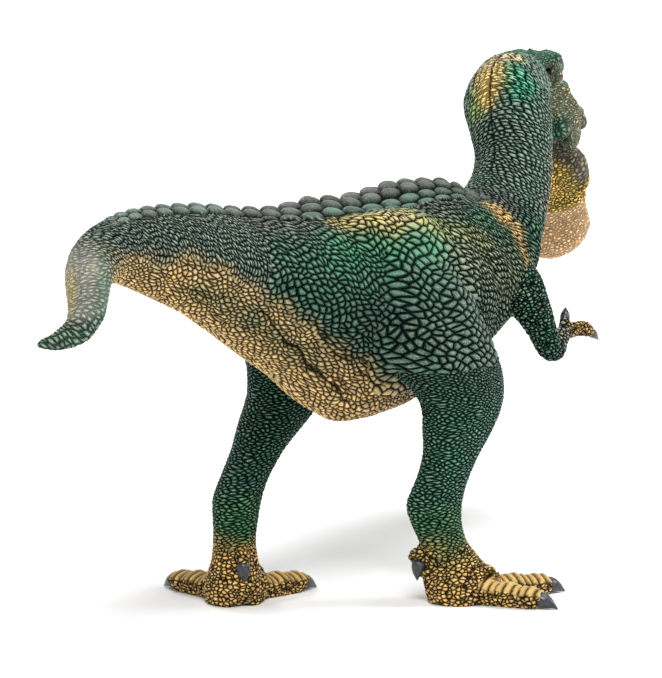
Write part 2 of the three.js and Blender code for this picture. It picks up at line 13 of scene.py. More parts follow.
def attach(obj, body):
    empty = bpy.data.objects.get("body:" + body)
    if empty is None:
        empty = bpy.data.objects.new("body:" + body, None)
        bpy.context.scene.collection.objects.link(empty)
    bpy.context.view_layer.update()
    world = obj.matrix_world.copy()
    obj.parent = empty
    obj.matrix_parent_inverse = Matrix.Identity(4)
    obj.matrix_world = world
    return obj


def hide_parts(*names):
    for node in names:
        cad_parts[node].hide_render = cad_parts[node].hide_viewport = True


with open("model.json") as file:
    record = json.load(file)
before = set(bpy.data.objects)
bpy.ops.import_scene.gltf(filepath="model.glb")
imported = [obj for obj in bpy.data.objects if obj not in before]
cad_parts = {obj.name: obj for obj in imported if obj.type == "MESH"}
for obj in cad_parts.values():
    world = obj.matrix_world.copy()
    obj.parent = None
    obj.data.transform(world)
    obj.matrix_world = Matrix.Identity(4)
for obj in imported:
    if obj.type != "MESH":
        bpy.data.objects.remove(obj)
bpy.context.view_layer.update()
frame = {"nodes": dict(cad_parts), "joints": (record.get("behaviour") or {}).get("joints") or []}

# Sizes in millimetres
MM = 0.001
WELD = 0.001
CLEARANCE = 0.3
SKIN_VOXEL = 0.46
MOUTH_VOXEL = 0.4
CLAW_LENGTH = 7
CLAW_THICKNESS = 3.6
TOE_LENGTH = 25.5
# Each toe's share of the length, from the left one to the right one
TOE_LENGTH_SHARES = (0.92, 1.06, 0.92)
TOE_THICKNESS = 7.2
TOOTH_THICKNESS = 2.4
EYE_RADIUS = 2.4

# Turns
JAW_OPENING = math.radians(37)
FOOT_TURN = math.radians(32)
TOE_SPREAD = math.radians(47)

UP = np.array([0.0, 0.0, 1.0])
LEFT = np.array([0.0, 1.0, 0.0])
BOTH_HANDS = (-1, 1)

# Places in millimetres from the ground point under the hips, as the part's source has them
HEAD_PLACE = np.array([112.0, 6.5, 119.0])
PADS = {"right_leg": np.array([22.5, -28.0, 0.0]), "left_leg": np.array([-12.5, 21.0, 0.0])}
HANDS = {"right_leg": -1, "left_leg": 1, "right_arm": -1, "left_arm": 1}

hinge = next(joint for joint in frame["joints"] if joint["name"] == "jaw_hinge")
HINGE = np.array(hinge["pos_m"]) / MM
HEAD_LEFT = np.array(hinge["axis"]) / np.linalg.norm(hinge["axis"])
HEAD_AHEAD = np.cross(HEAD_LEFT, UP)
JAW_AHEAD = HEAD_AHEAD * math.cos(JAW_OPENING) - UP * math.sin(JAW_OPENING)
JAW_UP = UP * math.cos(JAW_OPENING) + HEAD_AHEAD * math.sin(JAW_OPENING)
HIP = HINGE - HEAD_PLACE


def head_space(points):
    """Places ahead of, left of and above the jaw's hinge"""
    away = points - HINGE
    return np.stack([away @ HEAD_AHEAD, away @ HEAD_LEFT, away @ UP], -1)


def jaw_space(points):
    """The same for the lower jaw, ahead along its lips"""
    away = points - HINGE
    return np.stack([away @ JAW_AHEAD, away @ HEAD_LEFT, away @ JAW_UP], -1)


def step(low, high, values):
    """0 below low, 1 above high and smooth between them; low may be the larger"""
    share = np.clip((values - low) / (high - low), 0, 1)
    return share * share * (3 - 2 * share)


def unit(vectors):
    """Vectors with a length of 1"""
    return vectors / np.linalg.norm(vectors, axis=-1, keepdims=True)


def linear(hex_colour):
    """A colour as it is seen, turned into the light it reflects"""
    seen = [int(hex_colour[k : k + 2], 16) / 255 for k in (0, 2, 4)]
    return np.array([c / 12.92 if c <= 0.04045 else ((c + 0.055) / 1.055) ** 2.4 for c in seen])


# Meshes and their arrays


def mesh_object(name, mesh):
    made = bpy.data.objects.new(name, mesh)
    bpy.context.scene.collection.objects.link(made)
    return made


def joined_solids(names, grow):
    """The named CAD solids as one mesh in millimetres, grown so that neighbours run into each other"""
    whole = bmesh.new()
    for name in names:
        whole.from_mesh(frame["nodes"][name].data)
    bmesh.ops.scale(whole, vec=(1 / MM,) * 3, verts=whole.verts)
    bmesh.ops.remove_doubles(whole, verts=whole.verts, dist=WELD)
    whole.normal_update()
    for vert in whole.verts:
        vert.co += vert.normal * grow
    mesh = bpy.data.meshes.new("solids")
    whole.to_mesh(mesh)
    whole.free()
    return mesh


def remeshed(mesh, voxel):
    """One closed skin of small quads round a mesh"""
    carrier = mesh_object("carrier", mesh)
    modifier = carrier.modifiers.new("skin", "REMESH")
    modifier.mode = "VOXEL"
    modifier.voxel_size = voxel
    skin = bpy.data.meshes.new_from_object(carrier.evaluated_get(bpy.context.evaluated_depsgraph_get()))
    bpy.data.objects.remove(carrier)
    return skin


def read(collection, key, width, kind=np.float32):
    values = np.empty(len(collection) * width, kind)
    collection.foreach_get(key, values)
    return values.reshape(-1, width) if width > 1 else values


def points_of(mesh):
    return read(mesh.vertices, "co", 3).astype(float)


def quads_of(mesh):
    return read(mesh.loops, "vertex_index", 1, np.int32).reshape(-1, 4)


def edges_of(mesh):
    return read(mesh.edges, "vertices", 2, np.int32)


def normals_of(mesh, points):
    mesh.vertices.foreach_set("co", points.astype(np.float32).ravel())
    mesh.update()
    return read(mesh.vertex_normals, "vector", 3).astype(float)


def spread(values, edges, share, rounds):
    """Values at the points of a mesh, each drawn toward its neighbours' mean by a share, some rounds long"""
    columns = values.reshape(len(values), -1)
    count = np.bincount(edges.ravel(), minlength=len(columns))[:, None]
    first, second = edges.T
    for _ in range(rounds):
        sums = [
            np.bincount(first, column[second], len(columns))
            + np.bincount(second, column[first], len(columns))
            for column in columns.T
        ]
        columns = columns + np.reshape(share, (-1, 1)) * (np.stack(sums, -1) / count - columns)
    return columns.reshape(values.shape)


def quad_mesh(name, points, quads, fields):
    """A mesh of quads with its fields as attributes at its points; points in millimetres"""
    mesh = bpy.data.meshes.new(name)
    mesh.vertices.add(len(points))
    mesh.vertices.foreach_set("co", (points * MM).astype(np.float32).ravel())
    mesh.loops.add(quads.size)
    mesh.loops.foreach_set("vertex_index", quads.astype(np.int32).ravel())
    mesh.polygons.add(len(quads))
    mesh.polygons.foreach_set("loop_start", np.arange(0, quads.size, 4, dtype=np.int32))
    mesh.update(calc_edges=True)
    mesh.shade_smooth()
    for key, values in fields.items():
        add_field(mesh, key, values)
    return mesh


FIELD_KINDS = {(): ("FLOAT", "value"), (3,): ("FLOAT_VECTOR", "vector"), (4,): ("FLOAT_COLOR", "color")}


def add_field(mesh, key, values):
    """Adds single values, vectors or colours at a mesh's points"""
    kind, slot = FIELD_KINDS[values.shape[1:]]
    attribute = mesh.attributes.new(key, kind, "POINT")
    attribute.data.foreach_set(slot, values.astype(np.float32).ravel())


# Node trees, for the scales' geometry and for the paint alike


def fill(tree, node, inputs):
    """Links sockets to a node's inputs and sets plain values there"""
    for key, value in inputs.items():
        if isinstance(value, bpy.types.NodeSocket):
            tree.links.new(value, node.inputs[key])
        else:
            node.inputs[key].default_value = value
    return node


def make(tree, kind, inputs=None, **settings):
    node = tree.nodes.new(kind)
    for key, value in settings.items():
        setattr(node, key, value)
    return fill(tree, node, inputs or {})


def calc(tree, operation, *values):
    return make(tree, "ShaderNodeMath", dict(enumerate(values)), operation=operation).outputs[0]


def ramp(tree, value, low, high, to_low=0.0, to_high=1.0):
    inputs = {"Value": value, "From Min": low, "From Max": high, "To Min": to_low, "To Max": to_high}
    return make(tree, "ShaderNodeMapRange", inputs, interpolation_type="SMOOTHSTEP").outputs[0]


def mix_colour(tree, share, first, second, blend="MIX"):
    """A mix of two colours, each a socket, four values or six hex digits"""
    first, second = ((*linear(end), 1) if isinstance(end, str) else end for end in (first, second))
    inputs = {0: share, 6: first, 7: second}
    return make(tree, "ShaderNodeMix", inputs, data_type="RGBA", blend_type=blend).outputs[2]


def field_in_geometry(tree, key, is_vector=False):
    kind = "FLOAT_VECTOR" if is_vector else "FLOAT"
    node = make(tree, "GeometryNodeInputNamedAttribute", {"Name": key}, data_type=kind)
    return next(socket for socket in node.outputs if socket.enabled and socket.name == "Attribute")


def field_in_shader(tree, key, is_vector=False):
    node = make(tree, "ShaderNodeAttribute", attribute_name=key)
    return node.outputs["Vector" if is_vector else "Fac"]


# The patterns of moulded scales: whether they lie flat on a sheet or fill space,
# how far their sizes vary, how wide the slope at their edges is, and how high they stand
PATTERNS = {
    "hide": ("2D", 0.6, 0.26, 0.44),
    "flank": ("2D", 0.6, 0.34, 0.36),
    "chest": ("2D", 0.5, 0.38, 0.42),
    "belly": ("2D", 0.75, 0.34, 0.34),
    "tail": ("2D", 0.55, 0.36, 0.3),
    "collar": ("2D", 0.45, 0.36, 0.36),
    "limb": ("2D", 0.65, 0.38, 0.32),
    "foot": ("3D", 0.9, 0.3, 0.34),
    "fine": ("3D", 0.9, 0.34, 0.2),
}
# The turn of a flat pattern's rows in degrees, and the length and width of its scales
SCALE_ROWS = {
    "hide": (35, 2.8, 2.2),
    "flank": (52, 2.4, 1.6),
    "chest": (70, 2.5, 1.4),
    "belly": (50, 2.2, 1.15),
    "tail": (72, 1.8, 0.95),
    "collar": (84, 2.1, 0.95),
    "limb": (18, 1.45, 0.85),
}
FOOT_SCALE = np.array([1.35, 1.35, 0.9])
HEAD_SCALE = 0.75
JAW_SCALE = 1.15
JAW_RELIEF = 0.26
# How the rows on the thigh lie across the picture of the flank
HIDE_AHEAD, HIDE_OUT = 0.87, 0.5

# Where zones begin and where they are full: heights over the ground, places forward of the hips,
# distances round the body from its ridge, and the share of a normal that points one way
BORDERS = {
    "pattern": (0.35, 0.65),
    "thigh": (1.03, 0.97),
    "limb_height": (66, 62),
    "foot_height": (16.5, 14.5),
    "collar": (74, 77),
    "tail": (-45, -49),
    "chest": (38, 41),
    "ridge": (14, 11),
    "ridge_drop": (19, 8),
    "neck_crease": (82, 88),
    "crease_dark": (0.2, 0.6),
    "groove": (0.5, 0.1),
    "arm_claws": (74, 80),
    "toe_height": (9, 5),
    "toe_top": (9, 7),
    "facing_up": (0.4, 0.75),
    "band_side": (5.2, 3.8),
    "band_start": (5, 8),
    "band_height": (10, 8),
    "band_up": (-0.1, 0.4),
    "band_line": (0.5, 0.8),
    "palate_height": (3.6, 3.1),
    "palate_front": (3, 5),
    "palate_side": (12.5, 11),
    "curl": (-98, -112),
    "bare_curl": (-100, -112),
    "bare_curl_height": (89, 92),
    "curl_tip_height": (91, 88.5),
    "curl_yellow_above": (90, 93),
    "curl_yellow_below": (103, 99),
    "outer": (0.3, 0.8),
    "inner": (-0.2, -0.8),
    "belly_end": (-122, -104),
    "leg_paint": (70, 50),
    "thigh_paint": (46, 62),
    "back_paint": (20, 9),
    "shin_green": (34, 22),
    "right_foot_paint": (22, 8),
    "left_foot_paint": (22, 13),
    "undusted_height": (27, 14),
    "hand_paint": (77, 82),
    "finger_paint": (85, 90),
    "cheek_side": (4, 8),
    "cheek_height": (24, 19),
    "scute_side": (3, 9),
    "scute_front": (78, 60),
    "scute_shade": (0.95, 0.5),
    "jaw_inside": (-1.9, -1.3),
    "jaw_inside_front": (2, 4),
    "jaw_inside_side": (13, 12),
    "jaw_chin": (25, 29),
    "jaw_grey_height": (-8.5, -5),
    "jaw_grey_front": (20, 12),
}


def in_zone(**values):
    """0 outside any of the named borders and 1 well inside them all"""
    return math.prod(step(*BORDERS[key], at) for key, at in values.items())


def rows_on_sheet(along, down, turn, length, width):
    """Places on a sheet, counted in scales whose rows run at a turn from its along direction"""
    angle = math.radians(turn)
    row = (along * math.cos(angle) + down * math.sin(angle)) / length
    across = (down * math.cos(angle) - along * math.sin(angle)) / width
    wave_row = 0.4 * np.sin(0.9 * across + 1.1 * np.sin(0.7 * row))
    wave_across = 0.35 * np.sin(0.8 * row + 1.3 * np.sin(0.6 * across))
    return np.stack([row + 0.5 * across + wave_row, across + wave_across, np.zeros(len(row))], -1)


def cells(tree, field, key, output, **settings):
    """An output of the cell texture of one pattern"""
    dimensions, variety = PATTERNS[key][:2]
    inputs = {"Vector": field(tree, "place_" + key, True), "Scale": 1.0, "Randomness": variety}
    node = make(tree, "ShaderNodeTexVoronoi", inputs, voronoi_dimensions=dimensions, **settings)
    return node.outputs[output]


def scale_height(tree, field):
    """Near 1 on top of a scale and 0 in the cracks round it, blended over the patterns by their shares"""
    height = 1.0
    for key, (_, _, slope, _) in PATTERNS.items():
        edge = cells(tree, field, key, "Distance", feature="DISTANCE_TO_EDGE")
        dome = ramp(tree, cells(tree, field, key, "Distance"), 0.0, 0.75, 1.0, 0.62)
        crack = calc(tree, "SUBTRACT", 1.0, calc(tree, "MULTIPLY", dome, ramp(tree, edge, 0.0, slope)))
        height = calc(tree, "SUBTRACT", height, calc(tree, "MULTIPLY", field(tree, "share_" + key), crack))
    return height


def scale_tone(tree, field):
    """A shade of its own for each scale, from 0 to 1"""
    tone = 0.0
    for key in PATTERNS:
        shade = make(tree, "ShaderNodeSeparateXYZ", {0: cells(tree, field, key, "Color")}).outputs[0]
        tone = calc(tree, "ADD", tone, calc(tree, "MULTIPLY", field(tree, "share_" + key), shade))
    return tone


def scale_geometry():
    """Moves a skin's points along their normals, by its relief field where a scale stands up"""
    tree = bpy.data.node_groups.new("scales", "GeometryNodeTree")
    for direction in ("INPUT", "OUTPUT"):
        tree.interface.new_socket("Geometry", in_out=direction, socket_type="NodeSocketGeometry")
    entry = tree.nodes.new("NodeGroupInput")
    normal = tree.nodes.new("GeometryNodeInputNormal").outputs[0]
    rise = calc(tree, "MULTIPLY", scale_height(tree, field_in_geometry), field_in_geometry(tree, "relief"))
    offset = make(tree, "ShaderNodeVectorMath", {0: normal, "Scale": rise}, operation="SCALE").outputs[0]
    moved = make(tree, "GeometryNodeSetPosition", {"Geometry": entry.outputs[0], "Offset": offset})
    leave = tree.nodes.new("NodeGroupOutput")
    tree.links.new(moved.outputs[0], leave.inputs[0])
    return tree


# Painted materials


def finished(name, paint):
    """A material with a paint: a function that gives the shader's inputs"""
    material = bpy.data.materials.new(name)
    material.use_nodes = True
    tree = material.node_tree
    fill(tree, tree.nodes["Principled BSDF"], paint(tree))
    return material


def grain(tree, size, detail=3.0):
    """Even noise whose grains have a size in millimetres"""
    place = tree.nodes.new("ShaderNodeTexCoord").outputs["Object"]
    inputs = {"Vector": place, "Scale": 1 / (size * MM), "Detail": detail}
    return make(tree, "ShaderNodeTexNoise", inputs).outputs["Fac"]


def bump(tree, height, depth, normal=None):
    inputs = {"Height": height, "Distance": depth * MM, "Strength": 1.0}
    if normal:
        inputs["Normal"] = normal
    return make(tree, "ShaderNodeBump", inputs).outputs[0]


WASH_COLOUR = "040706"
# The pale dry brush on the scale tops, partly real paint and partly a painted highlight
DRY_BRUSH_AND_HIGHLIGHT_COLOUR = "b9b897"
SHADE_TINT = (0.6, 0.64, 0.66, 1)
PUPIL_COLOUR = (0.004, 0.004, 0.004, 1)
STEEL_DARK = (0.38, 0.38, 0.39, 1)
STEEL_LIGHT = (0.62, 0.62, 0.63, 1)


def paint_skin(tree):
    """Airbrushed colour zones, a dark wash in the cracks, painted light on each scale's top and painted shade
    toward its cracks, and a pale dry brush on the tops that is partly a painted highlight
    """
    height = scale_height(tree, field_in_shader)
    relief = field_in_shader(tree, "relief")
    fleck = grain(tree, 0.45)
    colour = make(tree, "ShaderNodeAttribute", attribute_name="paint").outputs["Color"]
    darker = mix_colour(tree, 1.0, colour, SHADE_TINT, "MULTIPLY")
    shade = calc(tree, "ADD", scale_tone(tree, field_in_shader), grain(tree, 5))
    toned = mix_colour(tree, ramp(tree, shade, 0.45, 1.15), darker, colour)
    # Painted light and shade on each scale: its colour is raised by up to half on the top and lowered toward
    # the cracks
    dome_light_and_shade = mix_colour(tree, 1.0, toned, ramp(tree, height, 0.15, 0.9, 0.55, 1.5), "MULTIPLY")
    top = calc(tree, "MULTIPLY", ramp(tree, height, 0.55, 0.95), ramp(tree, fleck, 0.42, 0.58))
    # Pale dry brush on the scale tops, partly real paint and partly a painted highlight
    dusted = mix_colour(tree, calc(tree, "MULTIPLY", top, field_in_shader(tree, "dust")), dome_light_and_shade, DRY_BRUSH_AND_HIGHLIGHT_COLOUR)
    crack = calc(tree, "MULTIPLY", ramp(tree, height, 0.34, 0.06), field_in_shader(tree, "wash"))
    dark = calc(tree, "MAXIMUM", crack, field_in_shader(tree, "hollow"))
    shape = bump(tree, calc(tree, "MULTIPLY", height, ramp(tree, relief, 0.0, 0.3)), 0.7)
    rough = bump(tree, grain(tree, 1.4), 0.22, shape)
    return {
        "Base Color": mix_colour(tree, calc(tree, "MULTIPLY", dark, 0.95), dusted, WASH_COLOUR),
        "Roughness": ramp(tree, dark, 0.0, 1.0, 0.4, 0.6),
        "Specular IOR Level": ramp(tree, dark, 0.0, 0.7, 0.3, 0.01),
        "Normal": bump(tree, fleck, 0.1, rough),
    }


def paint_claw(tree):
    """Near black with grey streaks, and glossy"""
    streak = grain(tree, 1.2)
    return {
        "Base Color": mix_colour(tree, ramp(tree, streak, 0.35, 0.7), "1b1c20", "3c3e44"),
        "Roughness": ramp(tree, streak, 0.3, 0.7, 0.22, 0.36),
        "Normal": bump(tree, grain(tree, 0.7), 0.04),
    }


def paint_mouth(tree):
    """Patchy flesh colours, dark in the hollows"""
    patch = grain(tree, 4)
    flesh = mix_colour(tree, ramp(tree, patch, 0.35, 0.65), "8e4a44", "c58577")
    return {
        "Base Color": mix_colour(tree, field_in_shader(tree, "hollow"), flesh, "2c1412"),
        "Roughness": ramp(tree, patch, 0.3, 0.7, 0.26, 0.4),
        "Normal": bump(tree, grain(tree, 0.6), 0.05),
    }


def paint_tooth(tree):
    """Cream, with brown stains toward the root"""
    stain = grain(tree, 0.8)
    root = mix_colour(tree, ramp(tree, stain, 0.3, 0.7), "8a6a3c", "b08d58")
    return {
        "Base Color": mix_colour(tree, ramp(tree, field_in_shader(tree, "along"), 0.1, 0.6), root, "e6dcc0"),
        "Roughness": ramp(tree, stain, 0.3, 0.7, 0.22, 0.32),
    }


def paint_eye(tree):
    """A dark slit in an amber ring, by how far a point turns from the way the eye looks"""
    amber = mix_colour(tree, ramp(tree, grain(tree, 0.4), 0.35, 0.65), "b8701c", "e6b23c")
    ring = mix_colour(tree, ramp(tree, field_in_shader(tree, "off_centre"), 0.5, 0.62), amber, "1a120c")
    base = mix_colour(tree, ramp(tree, field_in_shader(tree, "slit"), 0.16, 0.2), PUPIL_COLOUR, ring)
    return {"Base Color": base, "Roughness": 0.08, "Coat Weight": 1.0}


def paint_steel(tree):
    drawn = grain(tree, 0.3)
    return {
        "Base Color": mix_colour(tree, drawn, STEEL_DARK, STEEL_LIGHT),
        "Roughness": ramp(tree, drawn, 0.3, 0.7, 0.25, 0.4),
        "Metallic": 1.0,
    }


# The base skin: the CAD solids run together and smoothed, each point knowing its solid

# How far one round of smoothing draws a point to its neighbours' mean, and how many rounds
# even out the voxels, widen a soft border and smooth each skin
SMOOTH_SHARE = 0.5
VOXEL_ROUNDS = 3
BORDER_ROUNDS = 12
BODY_ROUNDS = 22
RIDGE_ROUNDS = 50
JAW_ROUNDS = 14
GUM_ROUNDS = 3
# How much less claws and fingers are smoothed
THIN_SHARE = 0.75

LEGS = ("right_leg", "left_leg")
ARMS = ("right_arm", "left_arm")
SKIN_NODES = ("torso", "tail", "neck", "skull", *LEGS, *ARMS)


def nearest_solid(points, names):
    """For each point, the place in the names of the CAD solid that it is nearest to"""
    corners, faces, owners = [], [], []
    for number, name in enumerate(names):
        mesh = frame["nodes"][name].data
        start = len(corners)
        corners.extend(vert.co / MM for vert in mesh.vertices)
        faces.extend([start + k for k in face.vertices] for face in mesh.polygons)
        owners.extend([number] * len(mesh.polygons))
    tree = BVHTree.FromPolygons(corners, faces)
    owners = np.array(owners)
    return owners[[tree.find_nearest(point)[2] for point in points]]


class Skin:
    """A base mesh with the fields that its sculpting, scales and paint need"""

    def __init__(self, names, voxel, rounds):
        self.names = names
        self.mesh = remeshed(joined_solids(names, CLEARANCE), voxel)
        self.quads = quads_of(self.mesh)
        self.edges = edges_of(self.mesh)
        self.points = points_of(self.mesh)
        self.owner = nearest_solid(self.points, names)
        self.soften(SMOOTH_SHARE, VOXEL_ROUNDS)
        self.soften(SMOOTH_SHARE * self.softness(), rounds)
        self.points -= self.normals * CLEARANCE
        self.rest = self.points.copy()
        self.rest_normals = self.normals

    @property
    def normals(self):
        return normals_of(self.mesh, self.points)

    def of(self, *names):
        """1 at the points of the named solids, with a soft border"""
        chosen = [self.names.index(name) for name in names if name in self.names]
        return spread(np.isin(self.owner, chosen).astype(float), self.edges, SMOOTH_SHARE, BORDER_ROUNDS)

    def softness(self):
        """1 where the skin is smoothed in full, and less on thin claws and fingers"""
        thin = np.zeros(len(self.points))
        for name in ARMS:
            if name in self.names:
                thin = np.maximum(thin, self.of(name) * in_zone(arm_claws=(self.points - HIP)[:, 0]))
        low = in_zone(toe_height=self.points[:, 2]) if "right_leg" in self.names else 0
        return 1 - THIN_SHARE * np.maximum(thin, low)

    def soften(self, share, rounds):
        self.points = spread(self.points, self.edges, share, rounds)

    def raise_by(self, heights):
        self.points = self.points + self.normals * heights[:, None]


# Sculpting


def along_segment(points, start, end):
    """How far points are from a segment, and how far along it they lie, from 0 to 1"""
    start, end = np.array(start, float), np.array(end, float)
    way = end - start
    share = np.clip((points - start) @ way / (way @ way), 0, 1)
    return np.linalg.norm(points - (start + share[:, None] * way), axis=1), share


def fading(away, width):
    """1 on a line, fading out to both sides"""
    return np.exp(-((away / width) ** 2))


def stroke(places, start, end, width):
    """1 along a segment, fading out round it"""
    return fading(along_segment(places, start, end)[0], width)


def strokes(places, rows):
    """The heights of strokes, from rows of: start, end, half width and height"""
    return sum(height * stroke(places, start, end, width) for start, end, width, height in rows)


def chained(line, *columns):
    """Rows for the stretches of a line: start, end, and a value from each column"""
    return list(zip(line, line[1:], *columns))


def mirrored(places):
    """Both sides of the head or trunk folded onto the left one"""
    folded = places.copy()
    folded[:, 1] = np.abs(folded[:, 1])
    return folded


# Lines through the middle of the forms, from the hips

# The spine from the tail's tip to the head; each row: a place and the girth's radius there
SPINE = (
    (-127.5, -6.5, 84.5, 1.5),
    (-121.0, -14.5, 88.5, 4.0),
    (-110.7, -8.5, 97.0, 5.6),
    (-102.0, -3.5, 101.0, 6.8),
    (-90.0, -0.5, 102.5, 8.4),
    (-75.0, 0.0, 101.0, 11.0),
    (-55.0, 0.0, 97.0, 14.0),
    (-35.0, 0.0, 91.0, 18.5),
    (-15.0, 0.0, 84.5, 23.0),
    (8.0, 0.0, 81.0, 27.0),
    (30.0, 0.0, 80.0, 28.0),
    (52.0, -1.0, 82.5, 26.0),
    (69.0, -2.5, 87.5, 21.0),
    (81.0, -4.0, 97.5, 14.0),
    (89.0, -3.2, 111.0, 12.0),
    (94.0, 1.2, 122.0, 12.0),
    (99.0, 5.0, 128.5, 12.0),
    (106.0, 6.0, 132.0, 10.0),
)
# The middle of each leg; each row: height, forward and to the left, and the girth's radius
LEG_MIDDLES = {
    "right_leg": (
        (0, 22.5, -28, 8.5),
        (10, 21, -27, 7),
        (17, 18, -26, 6),
        (28, 15.5, -26, 6.8),
        (40, 22, -26, 7.3),
        (54, 28, -25, 11),
        (62, 23.5, -23, 15),
        (72, 18, -20, 18),
        (84, 16, -16, 20),
        (100, 14, -12, 20),
    ),
    "left_leg": (
        (0, -12.5, 21, 8.5),
        (10, -12.5, 21, 7),
        (17, -12.5, 21, 6),
        (28, -10, 21.5, 6.8),
        (40, 0, 22, 7.3),
        (54, 12.5, 21.5, 11),
        (62, 16, 20, 15),
        (72, 15, 18, 18),
        (84, 14, 15, 20),
        (100, 13, 12, 20),
    ),
}
LINE_STEP = 1.5
CURL_STEPS = 10


def even_line(rows):
    """A line through the rows at even steps along it, gently rounded"""
    line = np.array(rows, float)
    lengths = np.concatenate([[0], np.cumsum(np.linalg.norm(np.diff(line[:, :3], axis=0), axis=1))])
    stations = np.arange(0, lengths[-1], LINE_STEP)
    line = np.stack([np.interp(stations, lengths, column) for column in line.T], -1)
    for _ in range(12):
        line[1:-1] = (line[:-2] + 2 * line[1:-1] + line[2:]) / 4
    return line


def beside_spine(hip):
    """For each place: its distance along the spine, and down round the body from the ridge, left above 0"""
    line = even_line(SPINE)
    middles = line[:, :3]
    ways = unit(np.gradient(middles, axis=0))
    sides = unit(LEFT - (ways @ LEFT)[:, None] * ways)
    nearest = np.zeros(len(hip), int)
    least = np.full(len(hip), np.inf)
    for number, middle in enumerate(middles):
        away = ((hip - middle) ** 2).sum(1)
        closer = away < least
        nearest[closer] = number
        least[closer] = away[closer]
    offset = hip - middles[nearest]
    way = ways[nearest]
    past = (offset * way).sum(1)
    offset -= past[:, None] * way
    side = (offset * sides[nearest]).sum(1)
    up = (offset * np.cross(way, sides[nearest])).sum(1)
    along = nearest * LINE_STEP + past
    radius = np.interp(along, np.arange(len(line)) * LINE_STEP, line[:, 3])
    return along, np.arctan2(side, up) * radius


def along_at(x):
    """The distance along the spine at a place forward of the hips, from the tail's curl on"""
    line = even_line(SPINE)
    return np.interp(x, line[:, 0][CURL_STEPS:], np.arange(len(line))[CURL_STEPS:] * LINE_STEP)


def in_trunk_zone(key, along):
    """As in_zone, for a border that is given as places forward of the hips"""
    return step(*(along_at(x) for x in BORDERS[key]), along)


def from_table(rows, at):
    """Values between the rows of a table whose first column is the place"""
    return np.interp(at, *np.array(rows, float).T)


def round_leg(hip, name):
    """For each place on a leg: how far it lies round it"""
    heights, xs, ys, radii = np.array(LEG_MIDDLES[name], float).T
    ahead, out, radius = (np.interp(hip[:, 2], heights, column) for column in (xs, ys, radii))
    return np.arctan2(hip[:, 0] - ahead, HANDS[name] * (hip[:, 1] - out)) * radius


# Places along the figure, from the hips, and the length of a back scute there
SCUTE_LENGTHS = (
    (-100, 3.6),
    (-86, 4.8),
    (-76, 5.9),
    (-60, 7.0),
    (-40, 7.8),
    (-20, 8.4),
    (0, 9.5),
    (18, 9.5),
    (36, 8.5),
    (52, 7.4),
    (66, 6.4),
    (78, 5.4),
)
FIRST_SCUTE = 78
LAST_SCUTE = -98
SCUTE_END = 68
SCUTE_FADE = 14
# How many times an oval goes into its place ahead and aside, and how square it is
SCUTE_AHEAD_TIMES, SCUTE_AHEAD_POWER = 2.1, 2.6
SCUTE_ASIDE_TIMES, SCUTE_ASIDE_POWER = 2.25, 2.4
# How much higher the rear of a scute stands than its front
SCUTE_TILT_SHARE = 0.7
# How wide apart their rows are, as a share of their length, along the figure
SCUTE_SPACING_SHARES = ((-60, 0.46), (-20, 0.42), (10, 0.38))
SCUTE_RISE_SHARE = 0.22
# How far the back lies below the part's own, along the figure
RIDGE_DROPS = (
    (-54, 0.0),
    (-44, 0.7),
    (-30, 1.2),
    (-8, 0.8),
    (9, 2.3),
    (20, 1.7),
    (27, 1.5),
    (34, 0.6),
    (50, 0.0),
)
# How high the scutes of a row stand, by rows from the ridge
SCUTE_ROW_SHARES = (1.0, 0.95, 0.75, 0.5, 0.0)
# How many rows there are beside the ridge, along the figure
SCUTE_ROW_COUNTS = ((-45, 1.0), (-20, 1.7), (10, 2.6))


def scute_stations():
    """The middles of the ridge's scutes, marched from the neck's root to the tail"""
    places = [FIRST_SCUTE]
    while places[-1] > LAST_SCUTE:
        places.append(places[-1] - from_table(SCUTE_LENGTHS, places[-1]))
    return np.array(places)


def back_scutes(skin, x, down):
    """Rows of oval scutes along the back: their height, where they cover the skin, their domes and shades"""
    here = from_table(SCUTE_LENGTHS, x)
    spacing = from_table(SCUTE_SPACING_SHARES, x) * here
    row = np.round(down / spacing)
    across = down / spacing - row
    stations = scute_stations()
    place = np.interp(x, stations[::-1], np.arange(len(stations))[::-1]) - 0.5 * (row % 2)
    forward = np.round(place) - place
    reach = 1 - (SCUTE_AHEAD_TIMES * np.abs(forward)) ** SCUTE_AHEAD_POWER
    reach -= (SCUTE_ASIDE_TIMES * np.abs(across)) ** SCUTE_ASIDE_POWER
    dome = np.sqrt(np.clip(reach, 0, 1))
    fade = np.interp(np.abs(row), np.arange(len(SCUTE_ROW_SHARES)), SCUTE_ROW_SHARES)
    rows = from_table(SCUTE_ROW_COUNTS, x)
    cover = step(rows + 0.55, rows + 0.35, np.abs(down) / spacing)
    cover *= step(SCUTE_END, SCUTE_END - 3, x) * step(LAST_SCUTE, LAST_SCUTE + SCUTE_FADE, x)
    cover *= 1 - skin.of(*LEGS, *ARMS, "skull")
    rise = SCUTE_RISE_SHARE * here * (1 - SCUTE_TILT_SHARE * forward)
    tone = (np.sin(12.9 * row + 78.2 * np.round(place)) * 437.5) % 1
    return rise * dome * fade * cover, cover, dome, tone


BAND_SPACING = 2.1
BAND_HEIGHT = 1.1


